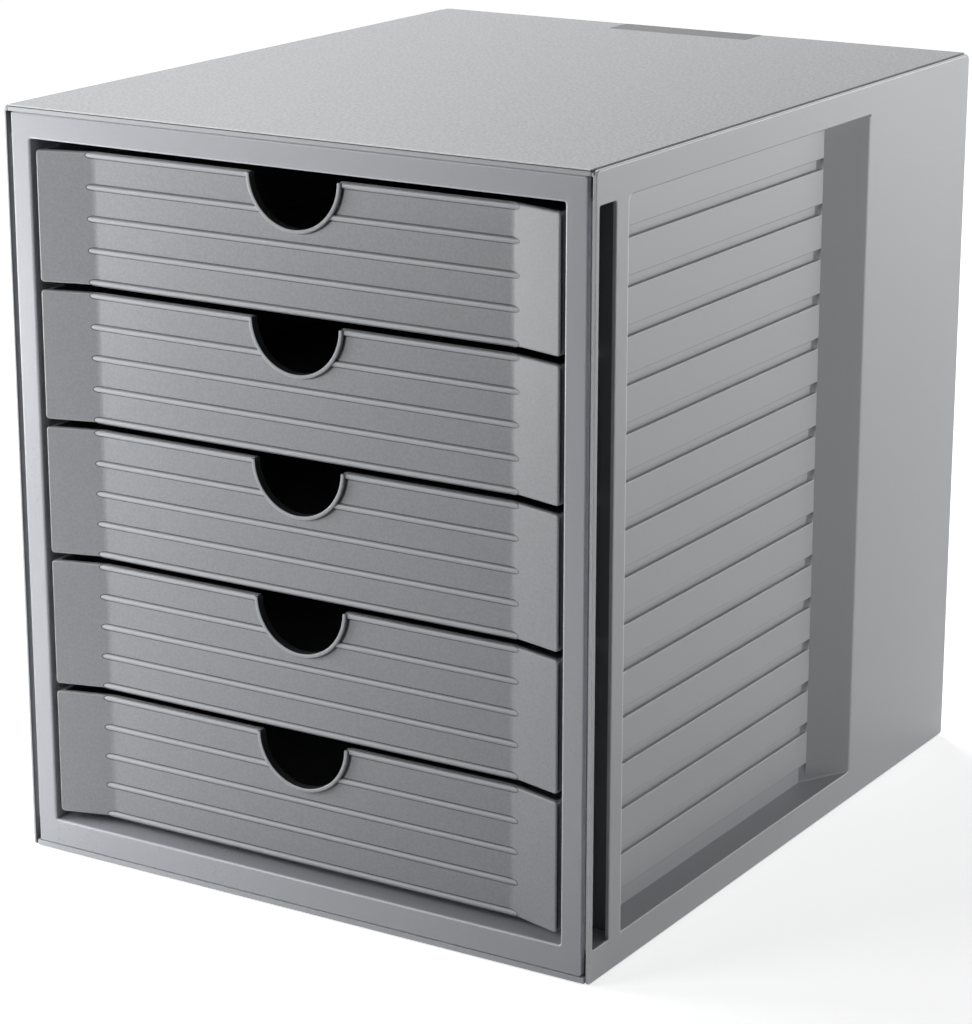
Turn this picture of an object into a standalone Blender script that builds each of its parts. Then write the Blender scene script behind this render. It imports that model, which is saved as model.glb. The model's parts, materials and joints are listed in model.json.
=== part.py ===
"""A closed desktop drawer box: a housing of snap-together mouldings with five sliding trays.

Frame: +X is the right side, -Y the front, +Z up. The origin is on the desk, under the middle of
the box. Lengths are in metres. Every drawer is one moulding, its front and its tray together.
It hangs by a ledge on the first of the three runner ribs that each side panel has for it.
"""
import math

import bmesh
import bpy
from mathutils import Vector

MM = 0.001

# The whole box
BOX_WIDTH = 275 * MM
BOX_DEPTH = 330 * MM
BOX_HEIGHT = 320 * MM
FOOT_LIFT = 0.8 * MM

# Wall thicknesses
SIDE_WALL = 1.55 * MM
SHEET_WALL = 2.5 * MM
BACK_WALL = 2.0 * MM
FRAME_WALL = 1.8 * MM
TRAY_WALL = 1.8 * MM
FRONT_WALL = 2.0 * MM

# Gaps between mouldings that are clipped together
SEAT_GAP = 0.3 * MM
SHEET_SIDE_GAP = 0.5 * MM

# Front frame
FRAME_GROOVE = 2.2 * MM
FRAME_SIDE_STRIP = 9.3 * MM
OPENING_TOP_MARGIN = 13.0 * MM
OPENING_BOTTOM_MARGIN = 14.8 * MM
SLEEVE_DEPTH = 20 * MM
FRAME_FLANGE_DEPTH = 2.8 * MM
FRAME_OUTER_ROUNDING = 0.5 * MM
FRAME_INNER_ROUNDING = 1.0 * MM

# Side panels
PANEL_EDGE_ROUNDING = 0.9 * MM
PANEL_TOP_RADIUS = 2.8 * MM
PANEL_BOTTOM_RADIUS = 1.3 * MM
SLOT_SETBACK = 2.2 * MM
SLOT_WIDTH = 12.9 * MM
SLOT_TOP_MARGIN = 13.6 * MM
SLOT_BOTTOM_MARGIN = 14.5 * MM
SLOT_CORNER_RADIUS = 1.0 * MM
RECESS_SETBACK = 24.6 * MM
RECESS_FLOOR_LENGTH = 184.2 * MM
RAMP_LENGTH = 21.0 * MM
RECESS_TOP_MARGIN = 13.1 * MM
RECESS_BOTTOM_MARGIN = 14.4 * MM
RECESS_TOP_RADIUS = 2.8 * MM
RECESS_BOTTOM_RADIUS = 1.2 * MM
LIP_ROUNDING = 0.5 * MM

# Runner ribs: sunk grooves outside, ribs inside, in a wall of even thickness
RUNNER_OUTSET = 0.4 * MM
GROOVE_HEIGHT = 4.5 * MM
GROOVE_DEPTH = 1.8 * MM
RIBS_PER_DRAWER = 3
RUNNER_DROP = 10.6 * MM
STOP_LENGTH = 3.0 * MM

# Drawers
DRAWER_COUNT = 5
DRAWER_GAP = 3.2 * MM
STACK_END_GAP = 4.1 * MM
FRONT_SIDE_GAP = 2.4 * MM
FRONT_SETBACK = 0.3 * MM
FRONT_HOLLOW = 6.7 * MM
SLOPE_WIDTH = 24.1 * MM
FRONT_CORNER_RADIUS = 1.5 * MM
FRONT_EDGE_ROUNDING = 0.9 * MM
FRONT_FLANGE_DEPTH = 14 * MM
FRONT_LIP = 0.4 * MM
BAND_CLEARANCE = 0.8 * MM
RIB_CLEARANCE = 0.5 * MM
LEDGE_CLEARANCE = 0.3 * MM
TRAY_REAR_RADIUS = 5.0 * MM
TRAY_FLOOR_FILLET = 1.5 * MM
LUG_LENGTH = 35 * MM
LUG_HEIGHT = 4.0 * MM
LUG_CLEARANCE = 0.5 * MM
LUG_REAR_MARGIN = 8.0 * MM

# Cross ribs and grip of a drawer front
CROSS_RIB_COUNT = 5
CROSS_RIB_HEIGHT = 2.3 * MM
CROSS_RIB_PROUD = 0.9 * MM
CROSS_RIB_INSET = 1.2 * MM
CROSS_RIB_ROOT = 0.6 * MM
CROSS_RIB_ARC_STEPS = 4
GRIP_RADIUS = 20.6 * MM
GRIP_RIM_WIDTH = 1.6 * MM
GRIP_RIM_PROUD = 1.8 * MM
GRIP_STEPS = 20

# Top, bottom and back
SHEET_EDGE_ROUNDING = 0.4 * MM
FLANGE_DROP = 7.0 * MM
FLANGE_WALL = 1.6 * MM
FLANGE_END_MARGIN = 30 * MM
BUMPER_WIDTH = 2.0 * MM
BUMPER_HEIGHT = 1.5 * MM
BUMPER_END_MARGIN = 12 * MM
BUMPER_PLACE_SHARE = 0.45
LABEL_WIDTH = 70 * MM
LABEL_DEPTH = 17.5 * MM
LABEL_THICKNESS = 0.6 * MM
FOOT_RADIUS = 8.0 * MM
FOOT_POCKET_DEPTH = 0.9 * MM
FOOT_INSET = 24 * MM
FOOT_CHAMFER = 0.4 * MM
FOOT_STEPS = 32

# How far a cutter runs past what it cuts, and how near two heights are to count as one
OVERRUN = 1.0 * MM
NEAR = 0.01 * MM

# Steps in a quarter turn of a wide and of a narrow rounding, and the angle that stays an edge
WIDE_STEPS = 6
NARROW_STEPS = 2
SHARP_DEGREES = 18

# Faces of the housing
HALF_WIDTH = BOX_WIDTH / 2
FRONT_Y = -BOX_DEPTH / 2
REAR_Y = BOX_DEPTH / 2
SIDE_INNER_X = HALF_WIDTH - SIDE_WALL
SHEET_HALF_WIDTH = SIDE_INNER_X - SHEET_SIDE_GAP
FLOOR_TOP_Z = FOOT_LIFT + SHEET_WALL
LID_UNDER_Z = BOX_HEIGHT - SHEET_WALL
BACK_INNER_Y = REAR_Y - BACK_WALL
FRAME_HALF_WIDTH = SIDE_INNER_X - FRAME_GROOVE
OPENING_HALF_WIDTH = FRAME_HALF_WIDTH - FRAME_SIDE_STRIP
OPENING_LOW_Z = OPENING_BOTTOM_MARGIN
OPENING_HIGH_Z = BOX_HEIGHT - OPENING_TOP_MARGIN

# The stack of drawers in the opening
STACK_HEIGHT = OPENING_HIGH_Z - OPENING_LOW_Z - 2 * STACK_END_GAP
DRAWER_HEIGHT = (STACK_HEIGHT - (DRAWER_COUNT - 1) * DRAWER_GAP) / DRAWER_COUNT
DRAWER_PITCH = DRAWER_HEIGHT + DRAWER_GAP
STACK_TOP_Z = OPENING_HIGH_Z - STACK_END_GAP

# Runner wall of a side panel: its inner face, its ribs and their heights
RUNNER_X = OPENING_HALF_WIDTH + RUNNER_OUTSET
RIB_FACE_X = RUNNER_X - GROOVE_DEPTH
RECESS_FLOOR_X = RUNNER_X + SIDE_WALL
RECESS_DEPTH = HALF_WIDTH - RECESS_FLOOR_X
RECESS_FRONT_Y = FRONT_Y + RECESS_SETBACK
RAMP_FOOT_Y = RECESS_FRONT_Y + RECESS_FLOOR_LENGTH
RECESS_LOW_Z = RECESS_BOTTOM_MARGIN
RECESS_HIGH_Z = BOX_HEIGHT - RECESS_TOP_MARGIN
RIB_HEIGHT = GROOVE_HEIGHT + 2 * SIDE_WALL
RIB_PITCH = DRAWER_PITCH / RIBS_PER_DRAWER
FIRST_RIB_TOP_Z = STACK_TOP_Z - RUNNER_DROP
RUNNER_FRONT_Y = RECESS_FRONT_Y - SIDE_WALL

# Drawer, in its own frame: X across, Y back from its front, Z up from its lower edge
FRONT_HALF_WIDTH = OPENING_HALF_WIDTH - FRONT_SIDE_GAP
FLAT_HALF_WIDTH = FRONT_HALF_WIDTH - SLOPE_WIDTH
BAND_HALF_WIDTH = RUNNER_X - BAND_CLEARANCE
TRAY_HALF_WIDTH = RIB_FACE_X - RIB_CLEARANCE
DRAWER_FRONT_Y = FRONT_Y + FRONT_SETBACK
DRAWER_LENGTH = BACK_INNER_Y - BUMPER_HEIGHT - SEAT_GAP - DRAWER_FRONT_Y
LEDGE_Z = DRAWER_HEIGHT - RUNNER_DROP + LEDGE_CLEARANCE
LUG_TOP_Z = DRAWER_HEIGHT - RUNNER_DROP - RIB_HEIGHT - LUG_CLEARANCE
LUG_REAR_Y = DRAWER_LENGTH - LUG_REAR_MARGIN
LUG_FRONT_Y = LUG_REAR_Y - LUG_LENGTH
DRAWER_TRAVEL = DRAWER_FRONT_Y + LUG_FRONT_Y - (RUNNER_FRONT_Y + STOP_LENGTH) - SEAT_GAP

COLOURS = {
    "housing": (0.34, 0.345, 0.36, 1),
    "frame": (0.36, 0.365, 0.38, 1),
    "drawer": (0.29, 0.295, 0.305, 1),
    "label": (0.11, 0.115, 0.12, 1),
    "foot": (0.03, 0.03, 0.032, 1),
}
ROUGHNESS = {"housing": 0.45, "frame": 0.4, "drawer": 0.5, "label": 0.5, "foot": 0.8}


def clear_scene():
    """Remove every object that the file holds."""
    for item in list(bpy.data.objects):
        bpy.data.objects.remove(item, do_unlink=True)


def plastic(name):
    """The Principled material of one kind of piece."""
    material = bpy.data.materials.new(name)
    material.use_nodes = True
    shader = material.node_tree.nodes["Principled BSDF"]
    shader.inputs["Base Color"].default_value = COLOURS[name]
    shader.inputs["Roughness"].default_value = ROUGHNESS[name]
    shader.inputs["Metallic"].default_value = 0
    material.diffuse_color = COLOURS[name]
    return material


def link(name, bm):
    """Turn a bmesh into a linked object whose faces all point out."""
    bmesh.ops.recalc_face_normals(bm, faces=bm.faces)
    mesh = bpy.data.meshes.new(name)
    bm.to_mesh(mesh)
    bm.free()
    item = bpy.data.objects.new(name, mesh)
    bpy.context.collection.objects.link(item)
    return item


def prism(name, outlines, axis, low, high):
    """Closed solids: each outline of points across one axis, extruded along it from low to high.

    Across X the points are (y, z), across Y they are (x, z) and across Z they are (x, y).
    """
    place = {
        "X": lambda u, v, w: (w, u, v),
        "Y": lambda u, v, w: (u, w, v),
        "Z": lambda u, v, w: (u, v, w),
    }[axis]
    bm = bmesh.new()
    for outline in outlines:
        near = [bm.verts.new(place(u, v, low)) for u, v in outline]
        far = [bm.verts.new(place(u, v, high)) for u, v in outline]
        bm.faces.new(near)
        bm.faces.new(far)
        for index, vertex in enumerate(near):
            previous = index - 1
            bm.faces.new((near[previous], vertex, far[index], far[previous]))
    return link(name, bm)


def rectangle(left, right, low, high):
    """Corner points of an upright rectangle."""
    return [(left, low), (right, low), (right, high), (left, high)]


def box(name, x_range, y_range, z_range):
    """A rectangular block."""
    return prism(name, [rectangle(*x_range, *y_range)], "Z", *z_range)


def round_edges(item, radius, segments, chosen):
    """Round the edges that the test picks, before any cut is made."""
    bm = bmesh.new()
    bm.from_mesh(item.data)
    edges = [edge for edge in bm.edges if chosen(edge.verts[0].co, edge.verts[1].co)]
    bmesh.ops.bevel(bm, geom=edges, offset=radius, segments=segments, profile=0.5,
                    affect="EDGES", clamp_overlap=True)
    bm.to_mesh(item.data)
    bm.free()


def along(first, second, axis):
    """True for an edge that runs along one axis, 0 to 2."""
    gap = second - first
    return all(abs(gap[other]) < NEAR for other in range(3) if other != axis)


def both_at(first, second, axis, place):
    """True for an edge that lies at one place on an axis."""
    return abs(first[axis] - place) < NEAR and abs(second[axis] - place) < NEAR


def combine(item, tool, operation):
    """Join a tool to an item, or cut it out, and take the tool away."""
    modifier = item.modifiers.new(operation.lower(), "BOOLEAN")
    modifier.operation = operation
    modifier.solver = "EXACT"
    modifier.object = tool
    view = bpy.context.evaluated_depsgraph_get()
    solid = bpy.data.meshes.new_from_object(item.evaluated_get(view))
    item.modifiers.clear()
    item.data = solid
    bpy.data.objects.remove(tool, do_unlink=True)


def join(item, tool):
    combine(item, tool, "UNION")


def cut(item, tool):
    combine(item, tool, "DIFFERENCE")


def finish(item, material):
    """Give a finished piece its own name, material and shading."""
    item.data.name = item.name
    item.data.materials.clear()
    item.data.materials.append(material)
    item.data.shade_smooth()
    item.data.set_sharp_from_angle(angle=math.radians(SHARP_DEGREES))


def mirrored(item, name):
    """The other hand of a piece, mirrored across the middle plane of the box."""
    bm = bmesh.new()
    bm.from_mesh(item.data)
    for vertex in bm.verts:
        vertex.co.x = -vertex.co.x
    bmesh.ops.reverse_faces(bm, faces=bm.faces)
    return link(name, bm)


def drawer_low_z(number):
    """Height of the lower edge of a drawer, numbered from 1 at the top."""
    return STACK_TOP_Z - DRAWER_HEIGHT - (number - 1) * DRAWER_PITCH


# Side panels
def ramp_y(x, wall):
    """Where the ramp behind the recess crosses a height x, moved back by a wall's thickness."""
    slope = RAMP_LENGTH / RECESS_DEPTH
    shift = wall * math.hypot(RECESS_DEPTH, RAMP_LENGTH) / RECESS_DEPTH
    return RAMP_FOOT_Y + (x - RECESS_FLOOR_X) * slope + shift


def ribbed_outline(face_x, outer_x, low_z, high_z, tooth_height):
    """The section of the recess: one side straight, the other with a tooth for every rib.

    The lowest tooth runs on down to the bottom of the recess.
    """
    outline = [(outer_x, high_z), (face_x, high_z)]
    tooth_x = face_x - GROOVE_DEPTH
    for index in range(DRAWER_COUNT * RIBS_PER_DRAWER):
        middle_z = FIRST_RIB_TOP_Z - RIB_HEIGHT / 2 - index * RIB_PITCH
        upper_z = middle_z + tooth_height / 2
        lower_z = middle_z - tooth_height / 2
        outline += [(face_x, upper_z), (tooth_x, upper_z), (tooth_x, lower_z), (face_x, lower_z)]
    return outline[:-2] + [(tooth_x, low_z), (outer_x, low_z)]


def ribbed_block(name, wall, face_x, outer_x):
    """The recess as a solid, grown on every side by a wall, its rear end cut along the ramp."""
    front_y = RECESS_FRONT_Y - wall
    low_z = RECESS_LOW_Z - wall
    high_z = RECESS_HIGH_Z + wall
    outline = ribbed_outline(face_x, outer_x, low_z, high_z, GROOVE_HEIGHT + 2 * wall)
    rear_y = ramp_y(outer_x, wall) + OVERRUN
    block = prism(name, [outline], "Y", front_y, rear_y)
    for radius, corner_z in ((RECESS_TOP_RADIUS, high_z), (RECESS_BOTTOM_RADIUS, low_z)):
        round_edges(block, radius + wall, WIDE_STEPS, lambda first, second: (
            along(first, second, 0) and both_at(first, second, 1, front_y)
            and both_at(first, second, 2, corner_z)))
    bm = bmesh.new()
    bm.from_mesh(block.data)
    foot = Vector((face_x, ramp_y(face_x, wall), 0))
    across = Vector((-RAMP_LENGTH, RECESS_DEPTH, 0))
    cut_through = bmesh.ops.bisect_plane(
        bm, geom=bm.verts[:] + bm.edges[:] + bm.faces[:], plane_co=foot,
        plane_no=across.normalized(), clear_outer=True)
    rim = [part for part in cut_through["geom_cut"] if isinstance(part, bmesh.types.BMEdge)]
    bmesh.ops.contextual_create(bm, geom=rim)
    bmesh.ops.recalc_face_normals(bm, faces=bm.faces)
    bm.to_mesh(block.data)
    bm.free()
    return block


def stop_outlines():
    """Outlines (x, z) of the stops that join a drawer's first two ribs."""
    outlines = []
    for number in range(DRAWER_COUNT):
        first_low_z = FIRST_RIB_TOP_Z - RIB_HEIGHT - number * DRAWER_PITCH
        next_top_z = first_low_z + RIB_HEIGHT - RIB_PITCH
        half_rib = RIB_HEIGHT / 2
        outlines.append(rectangle(RIB_FACE_X + RIB_CLEARANCE / 2, RUNNER_X + SIDE_WALL / 2,
                                  next_top_z - half_rib, first_low_z + half_rib))
    return outlines


def on_lip(first, second):
    """True for an edge round the slot or the recess in the outer face of the panel."""
    inside = all(FRONT_Y + SLOT_SETBACK - NEAR < point.y < REAR_Y - SLOT_SETBACK
                 and SLOT_BOTTOM_MARGIN - NEAR < point.z < BOX_HEIGHT - RECESS_TOP_MARGIN + NEAR
                 for point in (first, second))
    return inside and both_at(first, second, 0, HALF_WIDTH)


def build_side_panels(material):
    """The right panel: outer sheet, upright slot, sunk boards and inner ribs; then the left."""
    panel = box("right_side_panel", (SIDE_INNER_X, HALF_WIDTH), (FRONT_Y, REAR_Y),
                (FOOT_LIFT, BOX_HEIGHT))
    for radius, corner_z in ((PANEL_TOP_RADIUS, BOX_HEIGHT), (PANEL_BOTTOM_RADIUS, FOOT_LIFT)):
        round_edges(panel, radius, WIDE_STEPS, lambda first, second: (
            along(first, second, 0) and both_at(first, second, 2, corner_z)))
    round_edges(panel, PANEL_EDGE_ROUNDING, WIDE_STEPS, lambda first, second: (
        both_at(first, second, 0, HALF_WIDTH)))
    join(panel, ribbed_block("pan", SIDE_WALL, RUNNER_X, HALF_WIDTH - SIDE_WALL / 2))
    join(panel, prism("stops", stop_outlines(), "Y", RUNNER_FRONT_Y + NEAR,
                      RUNNER_FRONT_Y + STOP_LENGTH))
    cut(panel, ribbed_block("recess", 0, RECESS_FLOOR_X, HALF_WIDTH + OVERRUN))
    slot_front_y = FRONT_Y + SLOT_SETBACK
    slot = box("slot", (SIDE_INNER_X - OVERRUN, HALF_WIDTH + OVERRUN),
               (slot_front_y, slot_front_y + SLOT_WIDTH),
               (SLOT_BOTTOM_MARGIN, BOX_HEIGHT - SLOT_TOP_MARGIN))
    round_edges(slot, SLOT_CORNER_RADIUS, NARROW_STEPS, lambda first, second: along(first, second, 0))
    cut(panel, slot)
    round_edges(panel, LIP_ROUNDING, NARROW_STEPS, on_lip)
    finish(panel, material)
    left = mirrored(panel, "left_side_panel")
    finish(left, material)


# Top and bottom sheets
def sheet(name, outer_z, inner_z, flange_z):
    """A flat sheet between the side panels, with a locking flange along each side."""
    low_z, high_z = sorted((outer_z, inner_z))
    item = box(name, (-SHEET_HALF_WIDTH, SHEET_HALF_WIDTH), (FRONT_Y, REAR_Y), (low_z, high_z))
    round_edges(item, SHEET_EDGE_ROUNDING, WIDE_STEPS, lambda first, second: (
        along(first, second, 0) and both_at(first, second, 2, outer_z)))
    root_z = (outer_z + inner_z) / 2
    for side in (-1, 1):
        outer_x = side * (SHEET_HALF_WIDTH - SHEET_SIDE_GAP)
        inner_x = side * (SHEET_HALF_WIDTH - SHEET_SIDE_GAP - FLANGE_WALL)
        join(item, box("flange", sorted((outer_x, inner_x)),
                       (FRONT_Y + FLANGE_END_MARGIN, REAR_Y - FLANGE_END_MARGIN),
                       sorted((root_z, flange_z))))
    return item


def build_top_panel(material):
    """The lid, with a shallow pocket for the label at its rear edge."""
    panel = sheet("top_panel", BOX_HEIGHT, LID_UNDER_Z, LID_UNDER_Z - FLANGE_DROP)
    pocket_half = LABEL_WIDTH / 2 + SEAT_GAP
    cut(panel, box("pocket", (-pocket_half, pocket_half),
                   (REAR_Y - LABEL_DEPTH - SEAT_GAP, REAR_Y + OVERRUN),
                   (BOX_HEIGHT - LABEL_THICKNESS - SEAT_GAP, BOX_HEIGHT + OVERRUN)))
    finish(panel, material)


def build_label_plate(material):
    """The bare dark plate, flush in its pocket in the lid."""
    plate = box("label_plate", (-LABEL_WIDTH / 2, LABEL_WIDTH / 2),
                (REAR_Y - LABEL_DEPTH, REAR_Y), (BOX_HEIGHT - LABEL_THICKNESS, BOX_HEIGHT))
    finish(plate, material)


def circle(centre_x, centre_y, radius, steps):
    """Points round a circle."""
    turn = 2 * math.pi / steps
    return [(centre_x + radius * math.cos(turn * index), centre_y + radius * math.sin(turn * index))
            for index in range(steps)]


def foot_places():
    """Name and centre of each foot."""
    places = []
    for end_name, end in (("front", -1), ("rear", 1)):
        for side_name, side in (("left", -1), ("right", 1)):
            centre = (side * (HALF_WIDTH - FOOT_INSET), end * (BOX_DEPTH / 2 - FOOT_INSET))
            places.append((f"foot_{end_name}_{side_name}", centre))
    return places


def build_bottom_panel(material):
    """The floor sheet, with a round pocket for each foot."""
    panel = sheet("bottom_panel", FOOT_LIFT, FLOOR_TOP_Z, FLOOR_TOP_Z + FLANGE_DROP)
    pockets = [circle(*centre, FOOT_RADIUS + SEAT_GAP, FOOT_STEPS) for _, centre in foot_places()]
    cut(panel, prism("pockets", pockets, "Z", FOOT_LIFT - OVERRUN, FOOT_LIFT + FOOT_POCKET_DEPTH))
    finish(panel, material)


def build_feet(material):
    """Four rubber discs, each standing out of its pocket."""
    for name, centre in foot_places():
        foot = prism(name, [circle(*centre, FOOT_RADIUS, FOOT_STEPS)], "Z", 0,
                     FOOT_LIFT + FOOT_POCKET_DEPTH - SEAT_GAP)
        round_edges(foot, FOOT_CHAMFER, 1, lambda first, second: both_at(first, second, 2, 0))
        finish(foot, material)


def build_back_panel(material):
    """The rear wall, with two upright ribs inside that stop the trays."""
    low_z = FLOOR_TOP_Z + SEAT_GAP
    high_z = LID_UNDER_Z - SEAT_GAP
    panel = box("back_panel", (-SHEET_HALF_WIDTH, SHEET_HALF_WIDTH), (BACK_INNER_Y, REAR_Y),
                (low_z, high_z))
    for side in (-1, 1):
        middle_x = side * TRAY_HALF_WIDTH * BUMPER_PLACE_SHARE
        join(panel, box("bumper", (middle_x - BUMPER_WIDTH / 2, middle_x + BUMPER_WIDTH / 2),
                        (BACK_INNER_Y - BUMPER_HEIGHT, BACK_INNER_Y + BACK_WALL / 2),
                        (low_z + BUMPER_END_MARGIN, high_z - BUMPER_END_MARGIN)))
    finish(panel, material)


# Front frame
def arc(centre_u, centre_v, radius, start, end, steps):
    """Points on an arc, its angles in degrees, both ends included."""
    points = []
    for index in range(steps + 1):
        angle = math.radians(start + (end - start) * index / steps)
        points.append((centre_u + radius * math.cos(angle), centre_v + radius * math.sin(angle)))
    return points


def build_front_frame(material):
    """The bezel: a channel section swept round the opening with mitred corners.

    Each point of the section has a distance from the opening's edge or from the frame's outer
    edge, and a depth behind the front plane.
    """
    inner_round = [("inner", u, v) for u, v in arc(
        FRAME_INNER_ROUNDING, FRAME_INNER_ROUNDING, FRAME_INNER_ROUNDING, 180, 270, WIDE_STEPS)]
    outer_round = [("outer", u, v) for u, v in arc(
        -FRAME_OUTER_ROUNDING, FRAME_OUTER_ROUNDING, FRAME_OUTER_ROUNDING, 270, 360, WIDE_STEPS)]
    section = inner_round + outer_round + [
        ("outer", 0, FRAME_FLANGE_DEPTH), ("outer", -FRAME_WALL, FRAME_FLANGE_DEPTH),
        ("outer", -FRAME_WALL, FRAME_WALL), ("inner", FRAME_WALL, FRAME_WALL),
        ("inner", FRAME_WALL, SLEEVE_DEPTH), ("inner", 0, SLEEVE_DEPTH)]
    edges = {
        "inner": (OPENING_HALF_WIDTH, OPENING_LOW_Z, OPENING_HIGH_Z),
        "outer": (FRAME_HALF_WIDTH, FLOOR_TOP_Z + SEAT_GAP, LID_UNDER_Z - SEAT_GAP),
    }
    bm = bmesh.new()
    rings = []
    for side, end in ((-1, -1), (1, -1), (1, 1), (-1, 1)):
        ring = []
        for edge, outward, depth in section:
            half_width, low_z, high_z = edges[edge]
            z = high_z + outward if end > 0 else low_z - outward
            ring.append(bm.verts.new((side * (half_width + outward), FRONT_Y + depth, z)))
        rings.append(ring)
    for index, ring in enumerate(rings):
        before = rings[index - 1]
        for step, vertex in enumerate(ring):
            bm.faces.new((before[step - 1], before[step], vertex, ring[step - 1]))
    finish(link("front_frame", bm), material)


# Drawers
def front_y(x):
    """Depth of the front face of a drawer, which slopes back from both ends to a flat middle."""
    share = (FRONT_HALF_WIDTH - abs(x)) / SLOPE_WIDTH
    return FRONT_HOLLOW * min(share, 1)


def behind_front_y(x):
    """Depth of the back of the front wall."""
    slope_length = math.hypot(SLOPE_WIDTH, FRONT_HOLLOW)
    return front_y(x) + FRONT_WALL * slope_length / SLOPE_WIDTH


def front_block():
    """The front with its end flanges, as a solid block with rounded corners and edges."""
    ends = [(-FRONT_HALF_WIDTH, 0), (-FLAT_HALF_WIDTH, FRONT_HOLLOW),
            (FLAT_HALF_WIDTH, FRONT_HOLLOW), (FRONT_HALF_WIDTH, 0)]
    outline = ends + [(FRONT_HALF_WIDTH, FRONT_FLANGE_DEPTH),
                      (-FRONT_HALF_WIDTH, FRONT_FLANGE_DEPTH)]
    block = prism("drawer", [outline], "Z", 0, DRAWER_HEIGHT)
    round_edges(block, FRONT_CORNER_RADIUS, WIDE_STEPS, lambda first, second: along(first, second, 1))
    round_edges(block, FRONT_EDGE_ROUNDING, NARROW_STEPS, on_front_rim)
    return block


def on_front_rim(first, second):
    """True for an edge round the outside of a drawer's front face."""
    on_front = all(abs(point.y - front_y(point.x)) < NEAR for point in (first, second))
    across_face = (abs(abs(first.x) - FLAT_HALF_WIDTH) < NEAR and along(first, second, 2))
    return on_front and not across_face


def tray_block():
    """The tray as a solid block: a wide band above, which rides the ribs, and a narrower body."""
    low_z = FRONT_LIP
    high_z = DRAWER_HEIGHT - FRONT_LIP
    outline = [(-TRAY_HALF_WIDTH, low_z), (TRAY_HALF_WIDTH, low_z),
               (TRAY_HALF_WIDTH, LEDGE_Z), (BAND_HALF_WIDTH, LEDGE_Z),
               (BAND_HALF_WIDTH, high_z), (-BAND_HALF_WIDTH, high_z),
               (-BAND_HALF_WIDTH, LEDGE_Z), (-TRAY_HALF_WIDTH, LEDGE_Z)]
    start_y = FRONT_FLANGE_DEPTH - TRAY_WALL
    block = prism("tray", [outline], "Y", start_y, DRAWER_LENGTH)
    round_edges(block, TRAY_REAR_RADIUS, WIDE_STEPS, lambda first, second: (
        along(first, second, 2) and both_at(first, second, 1, DRAWER_LENGTH)))
    return block


def hollow(name, half_width, low_z, fillet):
    """What is cut out of the tray: its front follows the front wall, its rear has round corners."""
    rear_y = DRAWER_LENGTH - TRAY_WALL
    flange_x = FRONT_HALF_WIDTH - TRAY_WALL
    jog_y = FRONT_FLANGE_DEPTH - TRAY_WALL
    right = [(FLAT_HALF_WIDTH, behind_front_y(FLAT_HALF_WIDTH)), (flange_x, behind_front_y(flange_x)),
             (flange_x, jog_y), (half_width, jog_y), (half_width, rear_y)]
    left = [(-x, y) for x, y in reversed(right)]
    high_z = DRAWER_HEIGHT + OVERRUN
    tool = prism(name, [right + left], "Z", low_z, high_z)
    round_edges(tool, TRAY_REAR_RADIUS - TRAY_WALL, WIDE_STEPS, lambda first, second: (
        along(first, second, 2) and both_at(first, second, 1, rear_y)))
    if fillet:
        round_edges(tool, fillet, NARROW_STEPS, lambda first, second: both_at(first, second, 2, low_z))
    return tool


def cross_rib_outlines():
    """Sections (y, z) of the ribs across a drawer's front: half an ellipse on a flat root."""
    outlines = []
    pitch = (DRAWER_HEIGHT - 2 * CROSS_RIB_INSET) / (CROSS_RIB_COUNT - 1)
    for index in range(CROSS_RIB_COUNT):
        middle_z = CROSS_RIB_INSET + index * pitch
        curve = arc(0, 0, 1, 90, 270, CROSS_RIB_ARC_STEPS)
        outline = [(FRONT_HOLLOW + CROSS_RIB_PROUD * u, middle_z + CROSS_RIB_HEIGHT / 2 * v)
                   for u, v in curve]
        root_y = FRONT_HOLLOW + CROSS_RIB_ROOT
        outline += [(root_y, outline[-1][1]), (root_y, outline[0][1])]
        outlines.append(outline)
    return outlines


def grip_outline(radius, high_z):
    """Half a disc hanging from the top edge, its flat side at a given height."""
    drop = DRAWER_HEIGHT - high_z
    start = math.degrees(math.asin(drop / radius))
    return [(x, z) for x, z in arc(0, DRAWER_HEIGHT, radius, 180 + start, 360 - start, GRIP_STEPS)]


def lug_outlines():
    """Sections (x, z) of the two lugs that run under the first ribs."""
    inner_x = TRAY_HALF_WIDTH - TRAY_WALL / 2
    low_z = LUG_TOP_Z - LUG_HEIGHT
    return [rectangle(inner_x, BAND_HALF_WIDTH, low_z, LUG_TOP_Z),
            rectangle(-BAND_HALF_WIDTH, -inner_x, low_z, LUG_TOP_Z)]


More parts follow.
